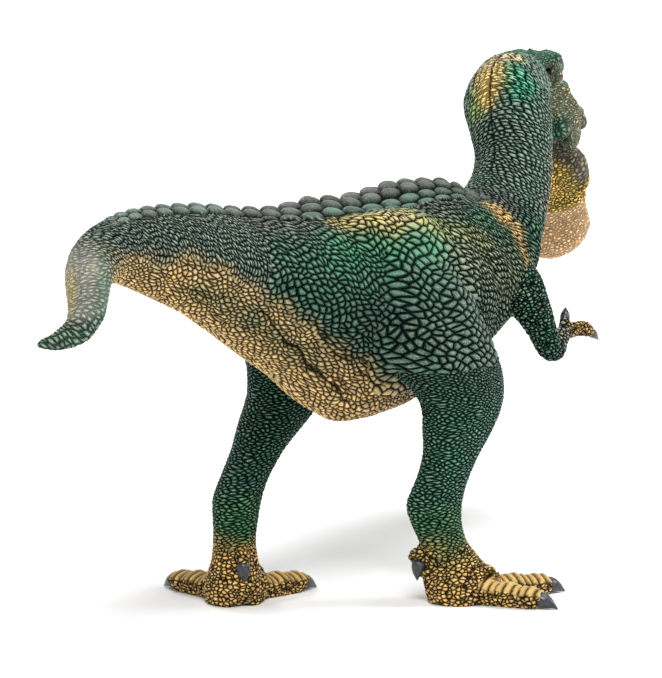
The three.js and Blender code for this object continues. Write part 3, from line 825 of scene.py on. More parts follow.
def toe_bands(skin):
    """Plates across the top of each toe, as a height and as the dark lines between them"""
    heights = np.zeros(len(skin.points))
    lines = np.zeros(len(skin.points))
    on_top = in_zone(band_height=skin.points[:, 2], band_up=skin.rest_normals[:, 2])
    for name, pad in PADS.items():
        for way, length in toes(name):
            from_pad = skin.points - (HIP + pad)
            along = from_pad @ way
            across = np.linalg.norm(from_pad[:, :2] - along[:, None] * way[:2], axis=1)
            on_toe = in_zone(band_side=across, band_start=along)
            on_toe *= step(length + 2, length, along) * on_top
            phase = (along / BAND_SPACING) % 1
            heights += on_toe * BAND_HEIGHT * (1 - phase) ** 0.6
            lines = np.maximum(lines, on_toe * in_zone(band_line=phase))
    return heights, lines


def toes(name):
    """The way that each toe of a leg points, and its length"""
    turn = HANDS[name] * FOOT_TURN
    turns = (turn + TOE_SPREAD, turn, turn - TOE_SPREAD)
    ways = [np.array([math.cos(each), math.sin(each), 0]) for each in turns]
    return list(zip(ways, (share * TOE_LENGTH for share in TOE_LENGTH_SHARES)))


# Lines over the head, ahead of, beside and above the jaw's hinge; both sides alike
REAR_RIDGE = ((-7, 5, 21), (-5, 7, 15), (-5.5, 9.5, 10), (-9, 11.8, 5.5))
CHANNEL = ((3, 5.1, 18.4), (2.5, 6.9, 14.6), (2, 9.1, 11.2), (0, 12.5, 6.5))
FRONT_RIDGE = ((9, 6.4, 17), (8, 8.8, 12), (6.5, 11.5, 8.5), (5, 15, 4))

HEAD_STROKES = [
    ((4, 7, 22), (16, 6.5, 20), 2.4, 1.1),
    *chained(REAR_RIDGE, (1.8, 1.8, 2.0), (1.5, 1.5, 1.4)),
    ((-10, 12, 4.6), (-11, 12, 2), 3.0, 1.4),
    *chained(CHANNEL, (1.9, 1.9, 2.0), (-1.7, -2.0, -2.2)),
    *chained(FRONT_RIDGE, (1.7, 1.7, 1.8), (1.4, 1.5, 1.5)),
    ((9.5, 13, 5.3), (10, 15.5, 2), 2.6, 2.4),
    ((20, 4, 18), (48, 2.5, 12), 1.6, 0.9),
    ((24, 8, 8), (34, 7, 8), 2.6, -1.1),
    ((14, 13, 5), (48, 7, 4), 1.3, 0.8),
    ((-8, 0, 24), (-2, 0, 25), 3.0, -0.6),
    ((0, 6, 23.5), (1, 6, 23.5), 1.3, 1.0),
    ((4, 7, 22.5), (5, 7, 22.5), 1.2, 0.9),
    ((9, 7, 20.5), (10, 7, 20.5), 1.2, 0.9),
    ((13, 7, 18.5), (14, 7, 18.5), 1.2, 0.8),
]

# Strokes of the body from the hips, both sides alike: muscles, folds and hollows
BODY_STROKES = [
    ((-70, 12, 92), (-20, 20, 76), 1.6, -0.6),
    ((-64, 13, 98), (-16, 22, 90), 2.4, 0.4),
    ((40, 23, 98), (60, 20, 66), 2.6, -0.9),
    ((46, 23, 96), (64, 21, 76), 1.6, 0.6),
    ((60, 20, 80), (66, 22, 68), 1.4, -0.8),
    ((74, 18, 100), (80, 17, 80), 2.4, 0.8),
    ((80, 14, 100), (86, 13, 84), 2.0, -0.6),
]


# Thin creases over the belly and the rump; each row: start and end on the surface, half width and depth
CREASES = (
    ((-47.4, 11.6, 85.9), (-19.1, 9.9, 67.4), 0.5, 0.7),
    ((-35.1, 10.6, 77.1), (-4.8, 8.2, 57.1), 0.5, 0.8),
    ((-27.0, 9.5, 71.5), (-1.6, 10.9, 58.3), 0.45, 0.6),
    ((-22.1, 8.9, 68.2), (1.4, 8.8, 54.8), 0.5, 0.7),
    ((-33.7, 15.9, 83.3), (4.5, 16.0, 62.5), 0.4, 0.6),
    ((-26.0, 15.7, 78.0), (-4.0, 14.5, 62.0), 0.45, 0.6),
    ((-17.5, 15.5, 72.4), (10.5, 12.6, 56.9), 0.45, 0.7),
    ((-75.2, 6.2, 93.8), (-47.4, 11.6, 85.9), 0.45, 0.5),
    ((-64.7, 1.6, 86.4), (-35.1, 10.6, 77.1), 0.45, 0.5),
    ((-80.0, 4.0, 93.0), (-60.0, 7.0, 88.0), 0.4, 0.4),
    ((-88.6, 8.6, 102.1), (-59.1, 11.9, 93.6), 0.4, 0.35),
    ((-50.5, 12.4, 97.0), (-33.7, 15.9, 86.0), 0.4, 0.4),
    ((-28.5, 18.8, 84.7), (-6.5, 19.6, 72.8), 0.4, 0.4),
    ((-36.7, 18.0, 93.5), (-13.8, 23.0, 84.9), 0.4, 0.35),
)
CREASE_TAPER_SHARE = 0.1
NECK_CREASE_WIDTH = 0.6
NECK_CREASE_DEPTH = 0.7


def crease_lines(along, down):
    """How deep the creases lie, measured on the sheet of the trunk's skin"""
    depths = NECK_CREASE_DEPTH * in_trunk_zone("neck_crease", along) * fading(down, NECK_CREASE_WIDTH)
    waves = 0.7 * np.sin(along / 2.6) + 0.4 * np.sin(along / 1.1 + down / 3)
    sheet = np.stack([along, np.abs(down) + waves], -1)
    for start, end, width, depth in CREASES:
        ends = np.abs(np.stack(beside_spine(np.array([start, end], float)), -1))
        away, share = along_segment(sheet, *ends)
        taper = step(0.0, CREASE_TAPER_SHARE, share) * step(1.0, 1 - CREASE_TAPER_SHARE, share)
        depths = np.maximum(depths, depth * fading(away, width) * taper)
    return depths


def pattern_fields(skin, along, down):
    """Each scale pattern's own coordinates at the skin's points"""
    hip = skin.rest - HIP
    fold = np.abs(down)
    right, left = (round_leg(hip, name) for name in PADS)
    sheets = dict.fromkeys(SCALE_ROWS, (along, fold))
    sheets["hide"] = (HIDE_AHEAD * hip[:, 0] + HIDE_OUT * np.abs(hip[:, 1]), -hip[:, 2])
    sheets["collar"] = (-along, fold)
    sheets["limb"] = (np.where(hip[:, 1] < 0, right, left), -hip[:, 2])
    fields = {"place_" + key: rows_on_sheet(*sheets[key], *rows) for key, rows in SCALE_ROWS.items()}
    fields["place_foot"] = (skin.points - HIP) / FOOT_SCALE
    fields["place_fine"] = hip / HEAD_SCALE
    return fields


# The thigh as an ellipsoid, from the hips; both sides alike
THIGH_MIDDLE = np.array([15, 22, 79])
THIGH_REACH = np.array([22, 26, 26])
# How much lower the scales are under the scutes and at the tail's curl
SCUTE_BARE_SHARE = 0.75
CURL_BARE_SHARE = 0.25


def body_skin():
    """The skin round all the glued solids, with its fields"""
    skin = Skin(SKIN_NODES, SKIN_VOXEL, BODY_ROUNDS)
    hip = skin.points - HIP
    x, _, z = hip.T
    head = head_space(skin.points)
    along, down = beside_spine(hip)
    on_head = skin.of("skull")
    on_legs = skin.of(*LEGS)
    on_arms = skin.of(*ARMS)
    off_legs_and_head = (1 - on_legs) * (1 - on_head)
    pinch_claws(skin)
    skin.raise_by(on_head * strokes(mirrored(head), HEAD_STROKES))
    skin.raise_by((1 - on_head) * strokes(mirrored(hip), BODY_STROKES))
    on_ridge = in_zone(ridge=np.abs(down)) * step(LAST_SCUTE, LAST_SCUTE + SCUTE_FADE, x)
    skin.soften(SMOOTH_SHARE * on_ridge * off_legs_and_head, RIDGE_ROUNDS)
    scutes, cover, dome, tone = back_scutes(skin, x, down)
    bands, lines = toe_bands(skin)
    creases = crease_lines(along, down) * off_legs_and_head * (1 - on_arms) * (1 - cover)
    drops = from_table(RIDGE_DROPS, x) * in_zone(ridge_drop=np.abs(down)) * off_legs_and_head
    skin.raise_by(scutes + bands - creases - drops)

    fields = scale_shares(skin, hip, along, on_head, on_legs, on_arms)
    bare_curl = CURL_BARE_SHARE * in_zone(bare_curl=x, bare_curl_height=z)
    bare = np.maximum(np.maximum(SCUTE_BARE_SHARE * cover, toe_top(skin)), bare_curl)
    fields = {key: share * (1 - bare) for key, share in fields.items()}
    relief = sum(fields["share_" + key] * height for key, (_, _, _, height) in PATTERNS.items())
    fields["relief"] = relief * (1 - mouth_roof(head))
    fields.update(pattern_fields(skin, along, down))
    apply_scales(skin, fields)
    drawn = np.maximum(cover * in_zone(groove=dome), np.maximum(lines, in_zone(crease_dark=creases)))
    fields["hollow"] = np.clip(np.maximum(hollows(skin), 0.95 * drawn), 0, 1)
    fields.update(body_paint(skin, down, cover, dome, tone))
    return skin, fields


def scale_shares(skin, hip, along, on_head, on_legs, on_arms):
    """The share of each pattern at the skin's points; each zone takes what those before it leave"""
    x, _, z = hip.T
    off_middle = np.linalg.norm((mirrored(hip) - THIGH_MIDDLE) / THIGH_REACH, axis=1)
    wanted = {
        "fine": on_head,
        "foot": np.maximum(on_legs * in_zone(foot_height=z), on_arms),
        "limb": on_legs * in_zone(limb_height=z),
        "hide": np.maximum(in_zone(thigh=off_middle), on_legs),
        "collar": in_trunk_zone("collar", along) * (1 - on_arms),
        "belly": belly_cover(skin),
        "tail": in_trunk_zone("tail", along),
        "chest": in_zone(chest=x),
        "flank": np.ones(len(x)),
    }
    left = 1.0
    shares = {}
    for key, share in wanted.items():
        crisp = in_zone(pattern=share)
        shares["share_" + key] = left * crisp
        left = left * (1 - crisp)
    return shares


# How far the skin is drawn in round a claw, and how far back from its tip
PINCH_SHARE = 0.6
PINCH_BACK_SHARE = 0.55


def pinch_claws(skin):
    """Draws the skin in where the CAD's claws are, so that the glossy claws cover it"""
    for root, way, _, length, _, thickness in claw_places():
        offset = skin.points - root
        past = offset @ way
        aside = offset - past[:, None] * way
        near = step(1.6 * thickness, 1.1 * thickness, np.linalg.norm(aside, axis=1))
        inward = PINCH_SHARE * near * step(0.02 * length, 0.3 * length, past)
        back = PINCH_BACK_SHARE * length * near * step(0.7 * length, length, past)
        skin.points = skin.points - inward[:, None] * aside - back[:, None] * way


# The small back toe of each foot
SPUR_LENGTH = 7.84
SPUR_HEIGHT = 11.8
SPUR_SHIFTS = {"right_leg": -4.5, "left_leg": 0.0}
# The last joint of each finger from the hips, start and end; both sides alike
FINGERS = (((87, 21.75, 67.5), (88, 21.25, 69.5)), ((95.5, 23, 66.25), (98.5, 23.25, 65)))
# The length, drop and thickness of each kind of claw
TOE_CLAW = (0.85 * CLAW_LENGTH, 0.32 * TOE_THICKNESS, 1.15 * CLAW_THICKNESS)
SPUR_CLAW = (5.6, 1.2, 3.6)
FINGER_CLAW = (5.0, 1.0, 2.7)


def claw_places():
    """For each claw: its root, the way it points, the way it bends, its length, its drop and its thickness"""
    rows = []
    for name, pad in PADS.items():
        hand = HANDS[name]
        for way, length in toes(name):
            root = HIP + pad + way * (length - 0.1 * CLAW_LENGTH) + UP * 0.36 * TOE_THICKNESS
            rows.append((root, way, -UP, *TOE_CLAW))
        start = HIP + pad + np.array([SPUR_SHIFTS[name], 0, SPUR_HEIGHT])
        root = start + np.array([-0.6, -0.8 * hand, 0]) * SPUR_LENGTH
        way = unit(np.array([-0.2, -0.25 * hand, -0.95]))
        rows.append((root, way, unit(np.array([0.6, 0.5 * hand, 0.0])), *SPUR_CLAW))
    for hand in BOTH_HANDS:
        for start, end in FINGERS:
            first, last = (HIP + np.array(place) * (1, hand, 1) for place in (start, end))
            way = unit(last - first)
            rows.append((last - 0.3 * way, way, -UP, *FINGER_CLAW))
    return rows


def toe_top(skin):
    """1 on top of the toes, where the plates lie"""
    on_top = in_zone(toe_top=skin.points[:, 2], facing_up=skin.rest_normals[:, 2])
    return on_top * skin.of(*LEGS)


def mouth_roof(head):
    """1 on the underside of the skull, between the cheeks"""
    ahead, left, height = head.T
    return in_zone(palate_height=height, palate_front=ahead, palate_side=np.abs(left))


def apply_scales(skin, fields):
    """Moves the skin's points by the scale patterns, with the same nodes that paint their cracks"""
    skin.mesh.vertices.foreach_set("co", skin.points.astype(np.float32).ravel())
    for key, values in fields.items():
        add_field(skin.mesh, key, values)
    carrier = mesh_object("carrier", skin.mesh)
    carrier.modifiers.new("scales", "NODES").node_group = scale_geometry()
    moved = bpy.data.meshes.new_from_object(carrier.evaluated_get(bpy.context.evaluated_depsgraph_get()))
    bpy.data.objects.remove(carrier)
    skin.points = points_of(moved)


# Rounds of smoothing that lift a fold's floor, and the depth that is fully dark after them
HOLLOW_SIZES = ((6, 0.22), (40, 0.75))


def sunk(points, edges, normals, rounds):
    """How far each point lies below its smoothed self"""
    return ((spread(points, edges, SMOOTH_SHARE, rounds) - points) * normals).sum(1)


def hollows(skin):
    """1 where the skin lies well below its smoothed self, as in a fold"""
    found = np.zeros(len(skin.points))
    for rounds, depth in HOLLOW_SIZES:
        sinking = sunk(skin.points, skin.edges, skin.normals, rounds)
        found = np.maximum(found, step(0.3 * depth, depth, sinking))
    return found


# Paint, in hex digits as it is seen
BACK_COLOUR = "4a514e"
SIDE_COLOUR = "265646"
TAIL_COLOUR = "546a60"
NECK_COLOUR = "5c7b6d"
BELLY_COLOUR = "e0b775"
LEG_COLOUR = "306856"
SHIN_COLOUR = "3f7a41"
FOOT_COLOUR = "cda562"
ARM_COLOUR = "1f5544"
HAND_COLOUR = "77796a"
FINGER_COLOUR = "b08c50"
HEAD_COLOUR = "558a6c"
CROWN_COLOUR = "949072"
ROOF_COLOUR = "a8635a"
SCUTE_SIDE_COLOUR = "386655"
# The curled tip of the tail: all over, on its inner and outer side, and at its end
CURL_COLOUR = "85857b"
CURL_INNER_COLOUR = "50705f"
CURL_OUTER_COLOUR = "a0945f"
CURL_TIP_COLOUR = "5d7a68"
CURL_OUTWARD = np.array([-0.57, 0.82, 0.0])
THROAT_COLOUR = "ffd464"
CHIN_COLOUR = "ffcf96"
JAW_GREY_COLOUR = "857d69"

# Each row: colour, start and end of the stroke from the hips, half width and strength
BODY_WASHES = [
    ("2c8058", (-16, 17, 97), (22, 19, 97), 8, 0.8),
    ("1d3a34", (-4, 24, 80), (30, 25, 70), 16, 0.9),
    ("bda963", (-9, 12, 105), (4, 17, 104.5), 4.2, 0.95),
    ("bdac70", (4, 17, 104.5), (18, 17, 104), 3.4, 0.9),
    ("9a9a58", (18, 17, 104), (46, 20, 95.5), 3.4, 0.8),
    ("5d6b50", (36, 22, 92), (58, 22, 84), 9, 0.75),
    ("226a4c", (50, 16, 101), (63, 14, 101), 4.0, 0.8),
    ("e8bc76", (61.4, 12.2, 103), (62, 15.7, 100), 2.6, 0.9),
    ("f4c67e", (64, 13, 102), (66, 18.6, 97), 2.6, 1.1),
    ("cfab69", (64.5, 20.2, 94), (66, 22, 86), 2.2, 0.8),
    ("5a6b4a", (-66, 8, 92), (-46, 10, 82), 4.5, 0.65),
    ("5a6b4a", (-46, 10, 82), (-18, 11, 66), 4.5, 0.65),
]

# The height that the pale belly reaches up to, along the figure
BELLY_EDGE = (
    (-104, 103),
    (-86, 101.5),
    (-68, 99),
    (-55, 94),
    (-34, 83),
    (-17, 72),
    (5, 62),
    (24, 56),
    (60, 54),
    (90, 70),
)


def belly_cover(skin):
    """1 on the pale belly, below its wavy edge"""
    x, y, z = (skin.rest - HIP).T
    edge = from_table(BELLY_EDGE, x) + wobble(x, y, z)
    cover = step(edge + 4, edge - 5, z) * in_zone(belly_end=x)
    return cover * (1 - skin.of(*LEGS, *ARMS, "neck", "skull"))


def wobble(x, y, z):
    """Small waves for the edge of a colour"""
    return 1.5 * np.sin(x / 3.1) * np.sin(y / 2.3 + z / 2.7)


def blended(paint, colour, share):
    """Paint with a share of a colour over it"""
    colour = linear(colour) if isinstance(colour, str) else colour
    return paint + (colour - paint) * np.clip(share, 0, 1)[:, None]


def layered(paint, *layers):
    """Paint with colours over it, one after another, each by its share"""
    for colour, share in layers:
        paint = blended(paint, colour, share)
    return paint


def brushed(paint, places, rows, share=1.0):
    """Paint with strokes of colour over it"""
    for colour, start, end, width, strength in rows:
        paint = blended(paint, colour, share * strength * stroke(places, start, end, width))
    return paint


def with_alpha(paint):
    """Three columns of colour and one of ones"""
    return np.c_[paint, np.ones(len(paint))]


def body_paint(skin, down, cover, dome, tone):
    """The body's paint, and how much dark wash and pale dry brush lie over it; the dry brush is partly a
    painted highlight
    """
    hip = skin.rest - HIP
    head = head_space(skin.rest)
    folded = mirrored(hip)
    x, y, z = hip.T
    on_head = skin.of("skull")
    on_neck = skin.of("neck")
    on_tail = skin.of("tail")
    on_legs = skin.of(*LEGS)
    on_arms = skin.of(*ARMS)
    trunk = (1 - on_legs) * (1 - on_arms) * (1 - on_head)
    belly = belly_cover(skin)
    curl = on_tail * in_zone(curl=x)

    paint = np.tile(linear(SIDE_COLOUR), (len(hip), 1))
    paint = layered(
        paint,
        (LEG_COLOUR, on_legs * in_zone(leg_paint=z)),
        (BACK_COLOUR, trunk * in_zone(back_paint=np.abs(down))),
        (TAIL_COLOUR, on_tail * 0.8),
        (NECK_COLOUR, on_neck),
        (BELLY_COLOUR, belly),
    )
    thigh = np.maximum(trunk, on_legs * in_zone(thigh_paint=z))
    paint = brushed(paint, folded, BODY_WASHES, (1 - cover) * thigh)
    paint = curl_paint(paint, skin.rest_normals, z, curl)
    paint = limb_paint(paint, hip, on_legs, on_arms)

    crown = on_head * in_zone(cheek_side=np.abs(head[:, 1]), cheek_height=head[:, 2])
    paint = layered(paint, (HEAD_COLOUR, on_head), (CROWN_COLOUR, crown * 0.85))
    paint = brushed(paint, hip, NECK_WASHES)
    paint = brushed(paint, mirrored(head), HEAD_WASHES, on_head)
    paint = blended(paint, ROOF_COLOUR, on_head * mouth_roof(head))

    beside_ridge = in_zone(scute_side=np.abs(down), scute_front=x)
    paint = blended(paint, SCUTE_SIDE_COLOUR, cover * beside_ridge * 0.75)
    paint = paint * (1 + cover * (0.7 * tone - 0.35))[:, None]
    # Painted shade: each scute is darkened to about a third of its colour on its sloping rim, away from the
    # top of its dome
    paint = blended(paint, paint * 0.35, cover * in_zone(scute_shade=dome))

    # How much pale dry brush lies on the scale tops; it partly stands for a painted highlight
    dust = (0.35 + 0.25 * on_neck + 0.2 * on_tail + 0.15 * belly + 0.1 * on_legs) * (1 - 0.6 * cover)
    dust *= 1 - on_legs * in_zone(undusted_height=z)
    dust += strokes(folded, DRY_BRUSH_AND_HIGHLIGHT_STROKES)
    wash = 1 - 0.1 * belly - 0.35 * curl - 0.45 * on_head - 0.45 * stroke(hip, *NAPE_PATCH)
    return {"paint": with_alpha(paint), "wash": wash, "dust": np.clip(dust, 0, 0.85)}


def curl_paint(paint, normals, z, curl):
    """The curled tip of the tail, by the way its sides face"""
    outer = normals @ CURL_OUTWARD
    lit = in_zone(outer=outer, curl_yellow_above=z, curl_yellow_below=z)
    return layered(
        paint,
        (CURL_COLOUR, curl * 0.85),
        (CURL_INNER_COLOUR, curl * in_zone(inner=outer) * 0.8),
        (CURL_OUTER_COLOUR, curl * lit),
        (CURL_TIP_COLOUR, curl * in_zone(curl_tip_height=z)),
    )


def limb_paint(paint, hip, on_legs, on_arms):
    """Shins, feet and arms"""
    x, y, z = hip.T
    low = z + 1.5 * wobble(x, y, z)
    on_foot = np.where(y < 0, in_zone(right_foot_paint=low), in_zone(left_foot_paint=low))
    return layered(
        paint,
        (SHIN_COLOUR, on_legs * in_zone(shin_green=low) * 0.6),
        (FOOT_COLOUR, on_legs * on_foot),
        (ARM_COLOUR, on_arms * 0.8),
        (HAND_COLOUR, on_arms * in_zone(hand_paint=x)),
        (FINGER_COLOUR, on_arms * in_zone(finger_paint=x)),
    )


# Start, end and half width of the patch on the nape that has little dark wash
NAPE_PATCH = ((89, 5, 140), (85, 3.5, 132), 4.5)

# The neck's and nape's zones, as they lie on the figure
NECK_WASHES = [
    ("9cb866", (86.5, 6.5, 133), (84.5, 6.5, 128), 3.4, 1.0),
    ("2aa37f", (90, -1, 139), (90.5, -4.5, 134), 4.4, 1.3),
    ("ffe08c", (88, 5, 139), (86.5, 4.2, 136.5), 4.1, 2.2),
    ("ffd880", (86.5, 4.2, 136.5), (84.5, 3.0, 131), 2.6, 1.7),
    ("ffe0a8", (90, 6, 142), (97, 1.5, 143), 2.4, 1.6),
    ("857f70", (96, -13, 114), (85, -18, 101), 3.6, 0.9),
    ("2f6a55", (105, -8.5, 123), (105, -7.5, 121), 3.0, 1.0),
]

# The skull's ridges and the channel between them, ahead of, beside and above the jaw's hinge
CHANNEL_SHADE = "2a2822"
HEAD_WASHES = [
    *((CHANNEL_SHADE, start, end, 1.9, 0.85) for start, end in chained(CHANNEL)),
    ("7d8a6a", REAR_RIDGE[0], REAR_RIDGE[2], 2.6, 0.8),
    ("a8a07c", FRONT_RIDGE[0], FRONT_RIDGE[1], 1.9, 0.9),
    ("a8a07c", FRONT_RIDGE[1], FRONT_RIDGE[3], 2.0, 0.9),
]

# Where the dry brush, which is partly a painted highlight, is heavier or lighter; each row: start, end, half
# width and change
DRY_BRUSH_AND_HIGHLIGHT_STROKES = [
    ((40, 22, 92), (62, 22, 76), 11, 0.6),
    ((0, 24, 82), (30, 24, 66), 14, -0.15),
    ((-30, 18, 88), (10, 22, 88), 14, -0.12),
]


# The lower jaw's own skin

JAW_STROKES = [
    ((2, 14, -3), (18, 14, -3.5), 4.5, 2.2),
    ((26, 15, -3), (27, 4, -11), 3.4, 0.5),
    ((42, 7, -8), (44, 0, -9), 7.0, 0.8),
]


def jaw_skin():
    """The skin round the lower jaw, with its fields"""
    skin = Skin(("lower_jaw",), MOUTH_VOXEL, JAW_ROUNDS)
    places = jaw_space(skin.points)
    ahead, left, height = places.T
    inside = in_zone(jaw_inside=height, jaw_inside_front=ahead)
    skin.raise_by((1 - inside) * strokes(mirrored(places), JAW_STROKES))
    fields = {"relief": JAW_RELIEF * (1 - inside)}
    for key in PATTERNS:
        fields["place_" + key] = (skin.rest - HIP) / JAW_SCALE
        fields["share_" + key] = (1 - inside) if key == "fine" else np.zeros(len(inside))
    apply_scales(skin, fields)
    fields["hollow"] = hollows(skin)
    chin = in_zone(jaw_chin=ahead)
    grey = in_zone(jaw_grey_height=height, jaw_grey_front=ahead)
    paint = layered(
        np.tile(linear(THROAT_COLOUR), (len(places), 1)),
        (CHIN_COLOUR, chin),
        (JAW_GREY_COLOUR, grey),
        (ROOF_COLOUR, inside * in_zone(jaw_inside_side=np.abs(left))),
    )
    fields["paint"] = with_alpha(paint)
    fields["wash"] = 0.9 - 0.7 * chin - 0.4 * grey
    # A light dry brush on the jaw, partly a painted highlight
    fields["dust"] = np.full(len(places), 0.1)
    return skin, fields


def skin_pieces(skin, fields, material):
    """One piece for each solid, cut from the whole skin along the borders between them"""
    for number, name in enumerate(skin.names):
        quads = skin.quads[skin.owner[skin.quads[:, 0]] == number]
        used, packed = np.unique(quads, return_inverse=True)
        kept = {key: values[used] for key, values in fields.items()}
        mesh = quad_mesh(name + "_skin", skin.points[used], packed.reshape(-1, 4), kept)
        mesh.materials.append(material)
        piece = mesh_object(name + "_skin", mesh)
        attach(piece, "jaw" if name == "lower_jaw" else "figure")
        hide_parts(name)


# Lofted small pieces: claws and teeth

LOFT_SIDES = 14
LOFT_RINGS = 12


def horn(centres, radii, side):
    """The rings of points of a round horn along its centres; the side is square to the plane it bends in"""
    ways = unit(np.gradient(centres, axis=0))
    angles = np.arange(LOFT_SIDES) * 2 * math.pi / LOFT_SIDES
    rings = []
    for centre, way, radius in zip(centres, ways, radii):
        across = unit(np.cross(way, side))
        level = np.cross(across, way)
        rings.append(centre + radius * (np.outer(np.cos(angles), level) + np.outer(np.sin(angles), across)))
    return np.array(rings)


def horns(name, rows, material):
    """One mesh of several horns from their rings, with how far along its horn each point lies"""
    points, faces, along = [], [], []
    for rings in rows:
        here = len(points) + np.arange(len(rings) * LOFT_SIDES).reshape(-1, LOFT_SIDES)
        after = np.roll(here, -1, axis=1)
        quads = np.stack([here[:-1], after[:-1], after[1:], here[1:]], -1)
        faces += [*quads.reshape(-1, 4).tolist(), here[0, ::-1].tolist(), here[-1].tolist()]
        points.extend(rings.reshape(-1, 3))
        along.extend(np.repeat(np.linspace(0, 1, len(rings)), LOFT_SIDES))
    mesh = bpy.data.meshes.new(name)
    mesh.from_pydata([Vector(point) * MM for point in points], [], faces)
    mesh.shade_smooth()
    add_field(mesh, "along", np.array(along))
    mesh.materials.append(material)
    return mesh_object(name, mesh)


def curved(root, way, drop_way, length, drop, thickness, girths):
    """The rings of a horn from its root along a way, bent toward another, with its girth's shares"""
    share = np.linspace(0, 1, LOFT_RINGS)
    centres = root + np.outer(share * length, way) + np.outer(share**1.8 * drop, drop_way)
    radii = thickness / 2 * np.interp(share, np.linspace(0, 1, len(girths)), girths)
    return horn(centres, radii, unit(np.cross(way, drop_way)))


CLAW_GIRTHS = (0.98, 1.06, 1.02, 0.86, 0.62, 0.34, 0.08)
TOOTH_GIRTHS = (0.9, 1.0, 0.94, 0.8, 0.6, 0.34, 0.08)
# Points of the solids count as tips of teeth from this height over the lips on
TOOTH_LEAST = 1.6
TOOTH_LEAN = 0.15
TOOTH_ROOT = 0.6
TOOTH_SHORTER = 0.1
TOOTH_GIRTH = 0.85 * TOOTH_THICKNESS
# The heights of the lips, and where the tongue lies, which also stands over the lower lip
UPPER_LIP = 2.7
LOWER_LIP = -1.2
TONGUE_HALF = 1.5
TONGUE_END = 45


def claws(material):
    made = horns("claws", [curved(*place, CLAW_GIRTHS) for place in claw_places()], material)
    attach(made, "figure")


def jaw_teeth(node, body, space, up, lean, sign, lip, material):
    """Teeth over the CAD's cones: each tip is a point of the solid that stands well away from the gums"""
    points = np.array([vert.co for vert in frame["nodes"][node].data.vertices]) / MM
    tips = np.unique(np.round(points[sign * (space(points)[:, 2] - lip) > TOOTH_LEAST], 2), axis=0)
    rows = []
    for tip, (ahead, left, height) in zip(tips, space(tips)):
        if sign > 0 and abs(left) < TONGUE_HALF and ahead < TONGUE_END:
            continue
        length = sign * (height - lip) + TOOTH_ROOT
        root = tip - sign * up * length
        length -= TOOTH_SHORTER
        rows.append(curved(root, sign * up, lean, length, TOOTH_LEAN, TOOTH_GIRTH, TOOTH_GIRTHS))
    teeth = horns(node.replace("teeth", "tooth_row"), rows, material)
    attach(teeth, body)


GUM_GROWTH = 0.05
LUMP_HEIGHT = 0.16


def mouth_skin(node, body, material):
    """The gums, palate and tongue: the CAD's plate, smoothed and roughened"""
    mesh = remeshed(joined_solids((node,), GUM_GROWTH), MOUTH_VOXEL)
    edges = edges_of(mesh)
    points = spread(points_of(mesh), edges, SMOOTH_SHARE, GUM_ROUNDS)
    x, y, z = (points - HIP).T
    lumps = LUMP_HEIGHT * np.sin(x * 2.1) * np.sin(y * 2.3 + 1.3 * np.sin(x)) * np.sin(z * 1.9)
    points = points + normals_of(mesh, points) * lumps[:, None]
    hollow = step(0.05, 0.4, sunk(points, edges, normals_of(mesh, points), BORDER_ROUNDS))
    made = quad_mesh(node + "_gums", points, quads_of(mesh), {"hollow": hollow})
    made.materials.append(material)
    piece = mesh_object(node + "_gums", made)
    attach(piece, body)
    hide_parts(node)


# Eyes, seated in the sides of the skull

EYE_PLACE = (14.0, 5.6, 16.4)
# How much an eye looks aside, ahead and up, and how much longer than wide its slit is
EYE_ASIDE, EYE_AHEAD, EYE_UP = 0.9, 0.25, 0.15
SLIT_SHARE = 0.45


def eye(hand, name, material):
    ahead, out, rise = EYE_PLACE
    centre = HINGE + HEAD_AHEAD * ahead + HEAD_LEFT * hand * out + UP * rise
    look = unit(HEAD_LEFT * hand * EYE_ASIDE + HEAD_AHEAD * EYE_AHEAD + UP * EYE_UP)
    ball = bmesh.new()
    bmesh.ops.create_icosphere(ball, subdivisions=4, radius=EYE_RADIUS)
    mesh = bpy.data.meshes.new(name)
    ball.to_mesh(mesh)
    ball.free()
    away = points_of(mesh)
    across = unit(np.cross(UP, look))
    add_field(mesh, "off_centre", np.arccos(np.clip(away @ look / EYE_RADIUS, -1, 1)))
    add_field(mesh, "slit", np.hypot(away @ across / EYE_RADIUS, SLIT_SHARE * (away @ UP) / EYE_RADIUS))
    mesh.vertices.foreach_set("co", ((away + centre) * MM).astype(np.float32).ravel())
    mesh.shade_smooth()
    mesh.materials.append(material)
    piece = mesh_object(name, mesh)
    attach(piece, "figure")


# The stage: camera, floor and light

VIEW_YAW = math.radians(35)
VIEW_RISE = math.radians(7.5)
CAMERA_AWAY = 950.0
LOOK_AT = np.array([0.927, -1.324, 71.707])
SENSOR = 36.0
FOCAL_PIXELS = 3562.5
PICTURE_HEIGHT = 678


def set_camera():
    forward = Vector(
        (
            math.cos(VIEW_YAW) * math.cos(VIEW_RISE),
            math.sin(VIEW_YAW) * math.cos(VIEW_RISE),
            -math.sin(VIEW_RISE),
        )
    )
    data = bpy.data.cameras.new("camera")
    data.lens = FOCAL_PIXELS * SENSOR / PICTURE_HEIGHT
    data.sensor_width = SENSOR
    data.clip_start = 0.01
    camera = bpy.data.objects.new("camera", data)
    bpy.context.scene.collection.objects.link(camera)
    camera.location = (Vector(LOOK_AT + HIP) - forward * CAMERA_AWAY) * MM
    camera.rotation_mode = "QUATERNION"
    camera.rotation_quaternion = forward.to_track_quat("-Z", "Y")
    bpy.context.scene.camera = camera


FLOOR_COLOUR = (0.95, 0.95, 0.95, 1)
FLOOR_SIZE = 8.0


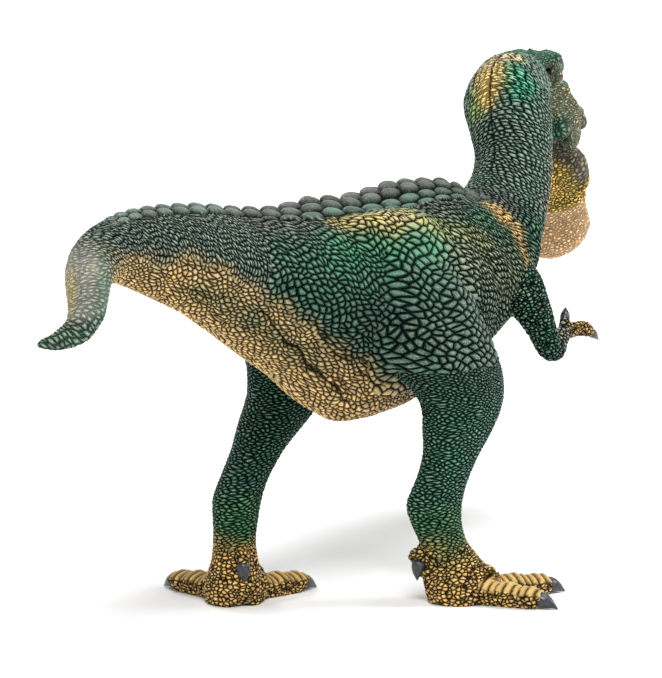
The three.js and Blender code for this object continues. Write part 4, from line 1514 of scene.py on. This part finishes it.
def set_floor():
    mesh = bpy.data.meshes.new("floor")
    half = FLOOR_SIZE / 2
    corners = [(-half, -half, 0), (half, -half, 0), (half, half, 0), (-half, half, 0)]
    mesh.from_pydata(corners, [], [(0, 1, 2, 3)])
    material = bpy.data.materials.new("floor")
    material.use_nodes = True
    shader = material.node_tree.nodes["Principled BSDF"]
    shader.inputs["Base Color"].default_value = FLOOR_COLOUR
    shader.inputs["Roughness"].default_value = 0.9
    mesh.materials.append(material)
    mesh_object("floor", mesh)


# Each lamp's direction from the figure, its strength, and how wide it looks in degrees
LAMPS = {
    "key": ((-0.6, -0.4, 0.7), 2.2, 25),
    "top": ((0.15, -0.3, 0.95), 1.2, 20),
    "side": ((0.5, -0.65, 0.5), 1.2, 20),
    "back": ((0.3, 0.6, 0.7), 0.8, 20),
}
LAMP_RISE = 0.08


def lamp(name, toward, strength, width):
    """A distant lamp that shines from a direction"""
    data = bpy.data.lights.new(name, "SUN")
    data.energy = strength
    data.angle = math.radians(width)
    made = bpy.data.objects.new(name, data)
    bpy.context.scene.collection.objects.link(made)
    made.location = Vector(toward) + Vector((0, 0, LAMP_RISE))
    made.rotation_mode = "QUATERNION"
    made.rotation_quaternion = Vector(toward).to_track_quat("Z", "Y")


WORLD_STRENGTH = 0.3


def set_light():
    """A soft white room, seen brighter than it shines, and four broad distant lamps"""
    world = bpy.data.worlds.new("world")
    world.use_nodes = True
    tree = world.node_tree
    shade = tree.nodes["Background"]
    path = tree.nodes.new("ShaderNodeLightPath").outputs
    mirrored_ray = calc(tree, "MAXIMUM", path["Is Glossy Ray"], path["Is Transmission Ray"])
    seen = calc(tree, "MAXIMUM", path["Is Camera Ray"], mirrored_ray)
    shade.inputs["Color"].default_value = (1, 1, 1, 1)
    tree.links.new(ramp(tree, seen, 0.0, 1.0, WORLD_STRENGTH, 1.0), shade.inputs["Strength"])
    bpy.context.scene.world = world
    for name, row in LAMPS.items():
        lamp(name, *row)
    bpy.context.scene.view_settings.view_transform = "Standard"


def build():
    skin_paint = finished("painted_skin", paint_skin)
    claw_paint = finished("painted_claw", paint_claw)
    mouth_paint = finished("painted_mouth", paint_mouth)
    tooth_paint = finished("painted_tooth", paint_tooth)
    skin_pieces(*body_skin(), skin_paint)
    skin_pieces(*jaw_skin(), skin_paint)
    claws(claw_paint)
    mouth_skin("upper_teeth", "figure", mouth_paint)
    mouth_skin("lower_teeth", "jaw", mouth_paint)
    jaw_teeth("upper_teeth", "figure", head_space, UP, -HEAD_AHEAD, -1, UPPER_LIP, tooth_paint)
    jaw_teeth("lower_teeth", "jaw", jaw_space, JAW_UP, -JAW_AHEAD, 1, LOWER_LIP, tooth_paint)
    eye_paint = finished("painted_eye", paint_eye)
    for hand, name in ((-1, "right_eye"), (1, "left_eye")):
        eye(hand, name, eye_paint)
    pin = frame["nodes"]["jaw_pin"]
    pin.data.materials.clear()
    pin.data.materials.append(finished("drawn_steel", paint_steel))


set_camera()
set_floor()
set_light()
build()
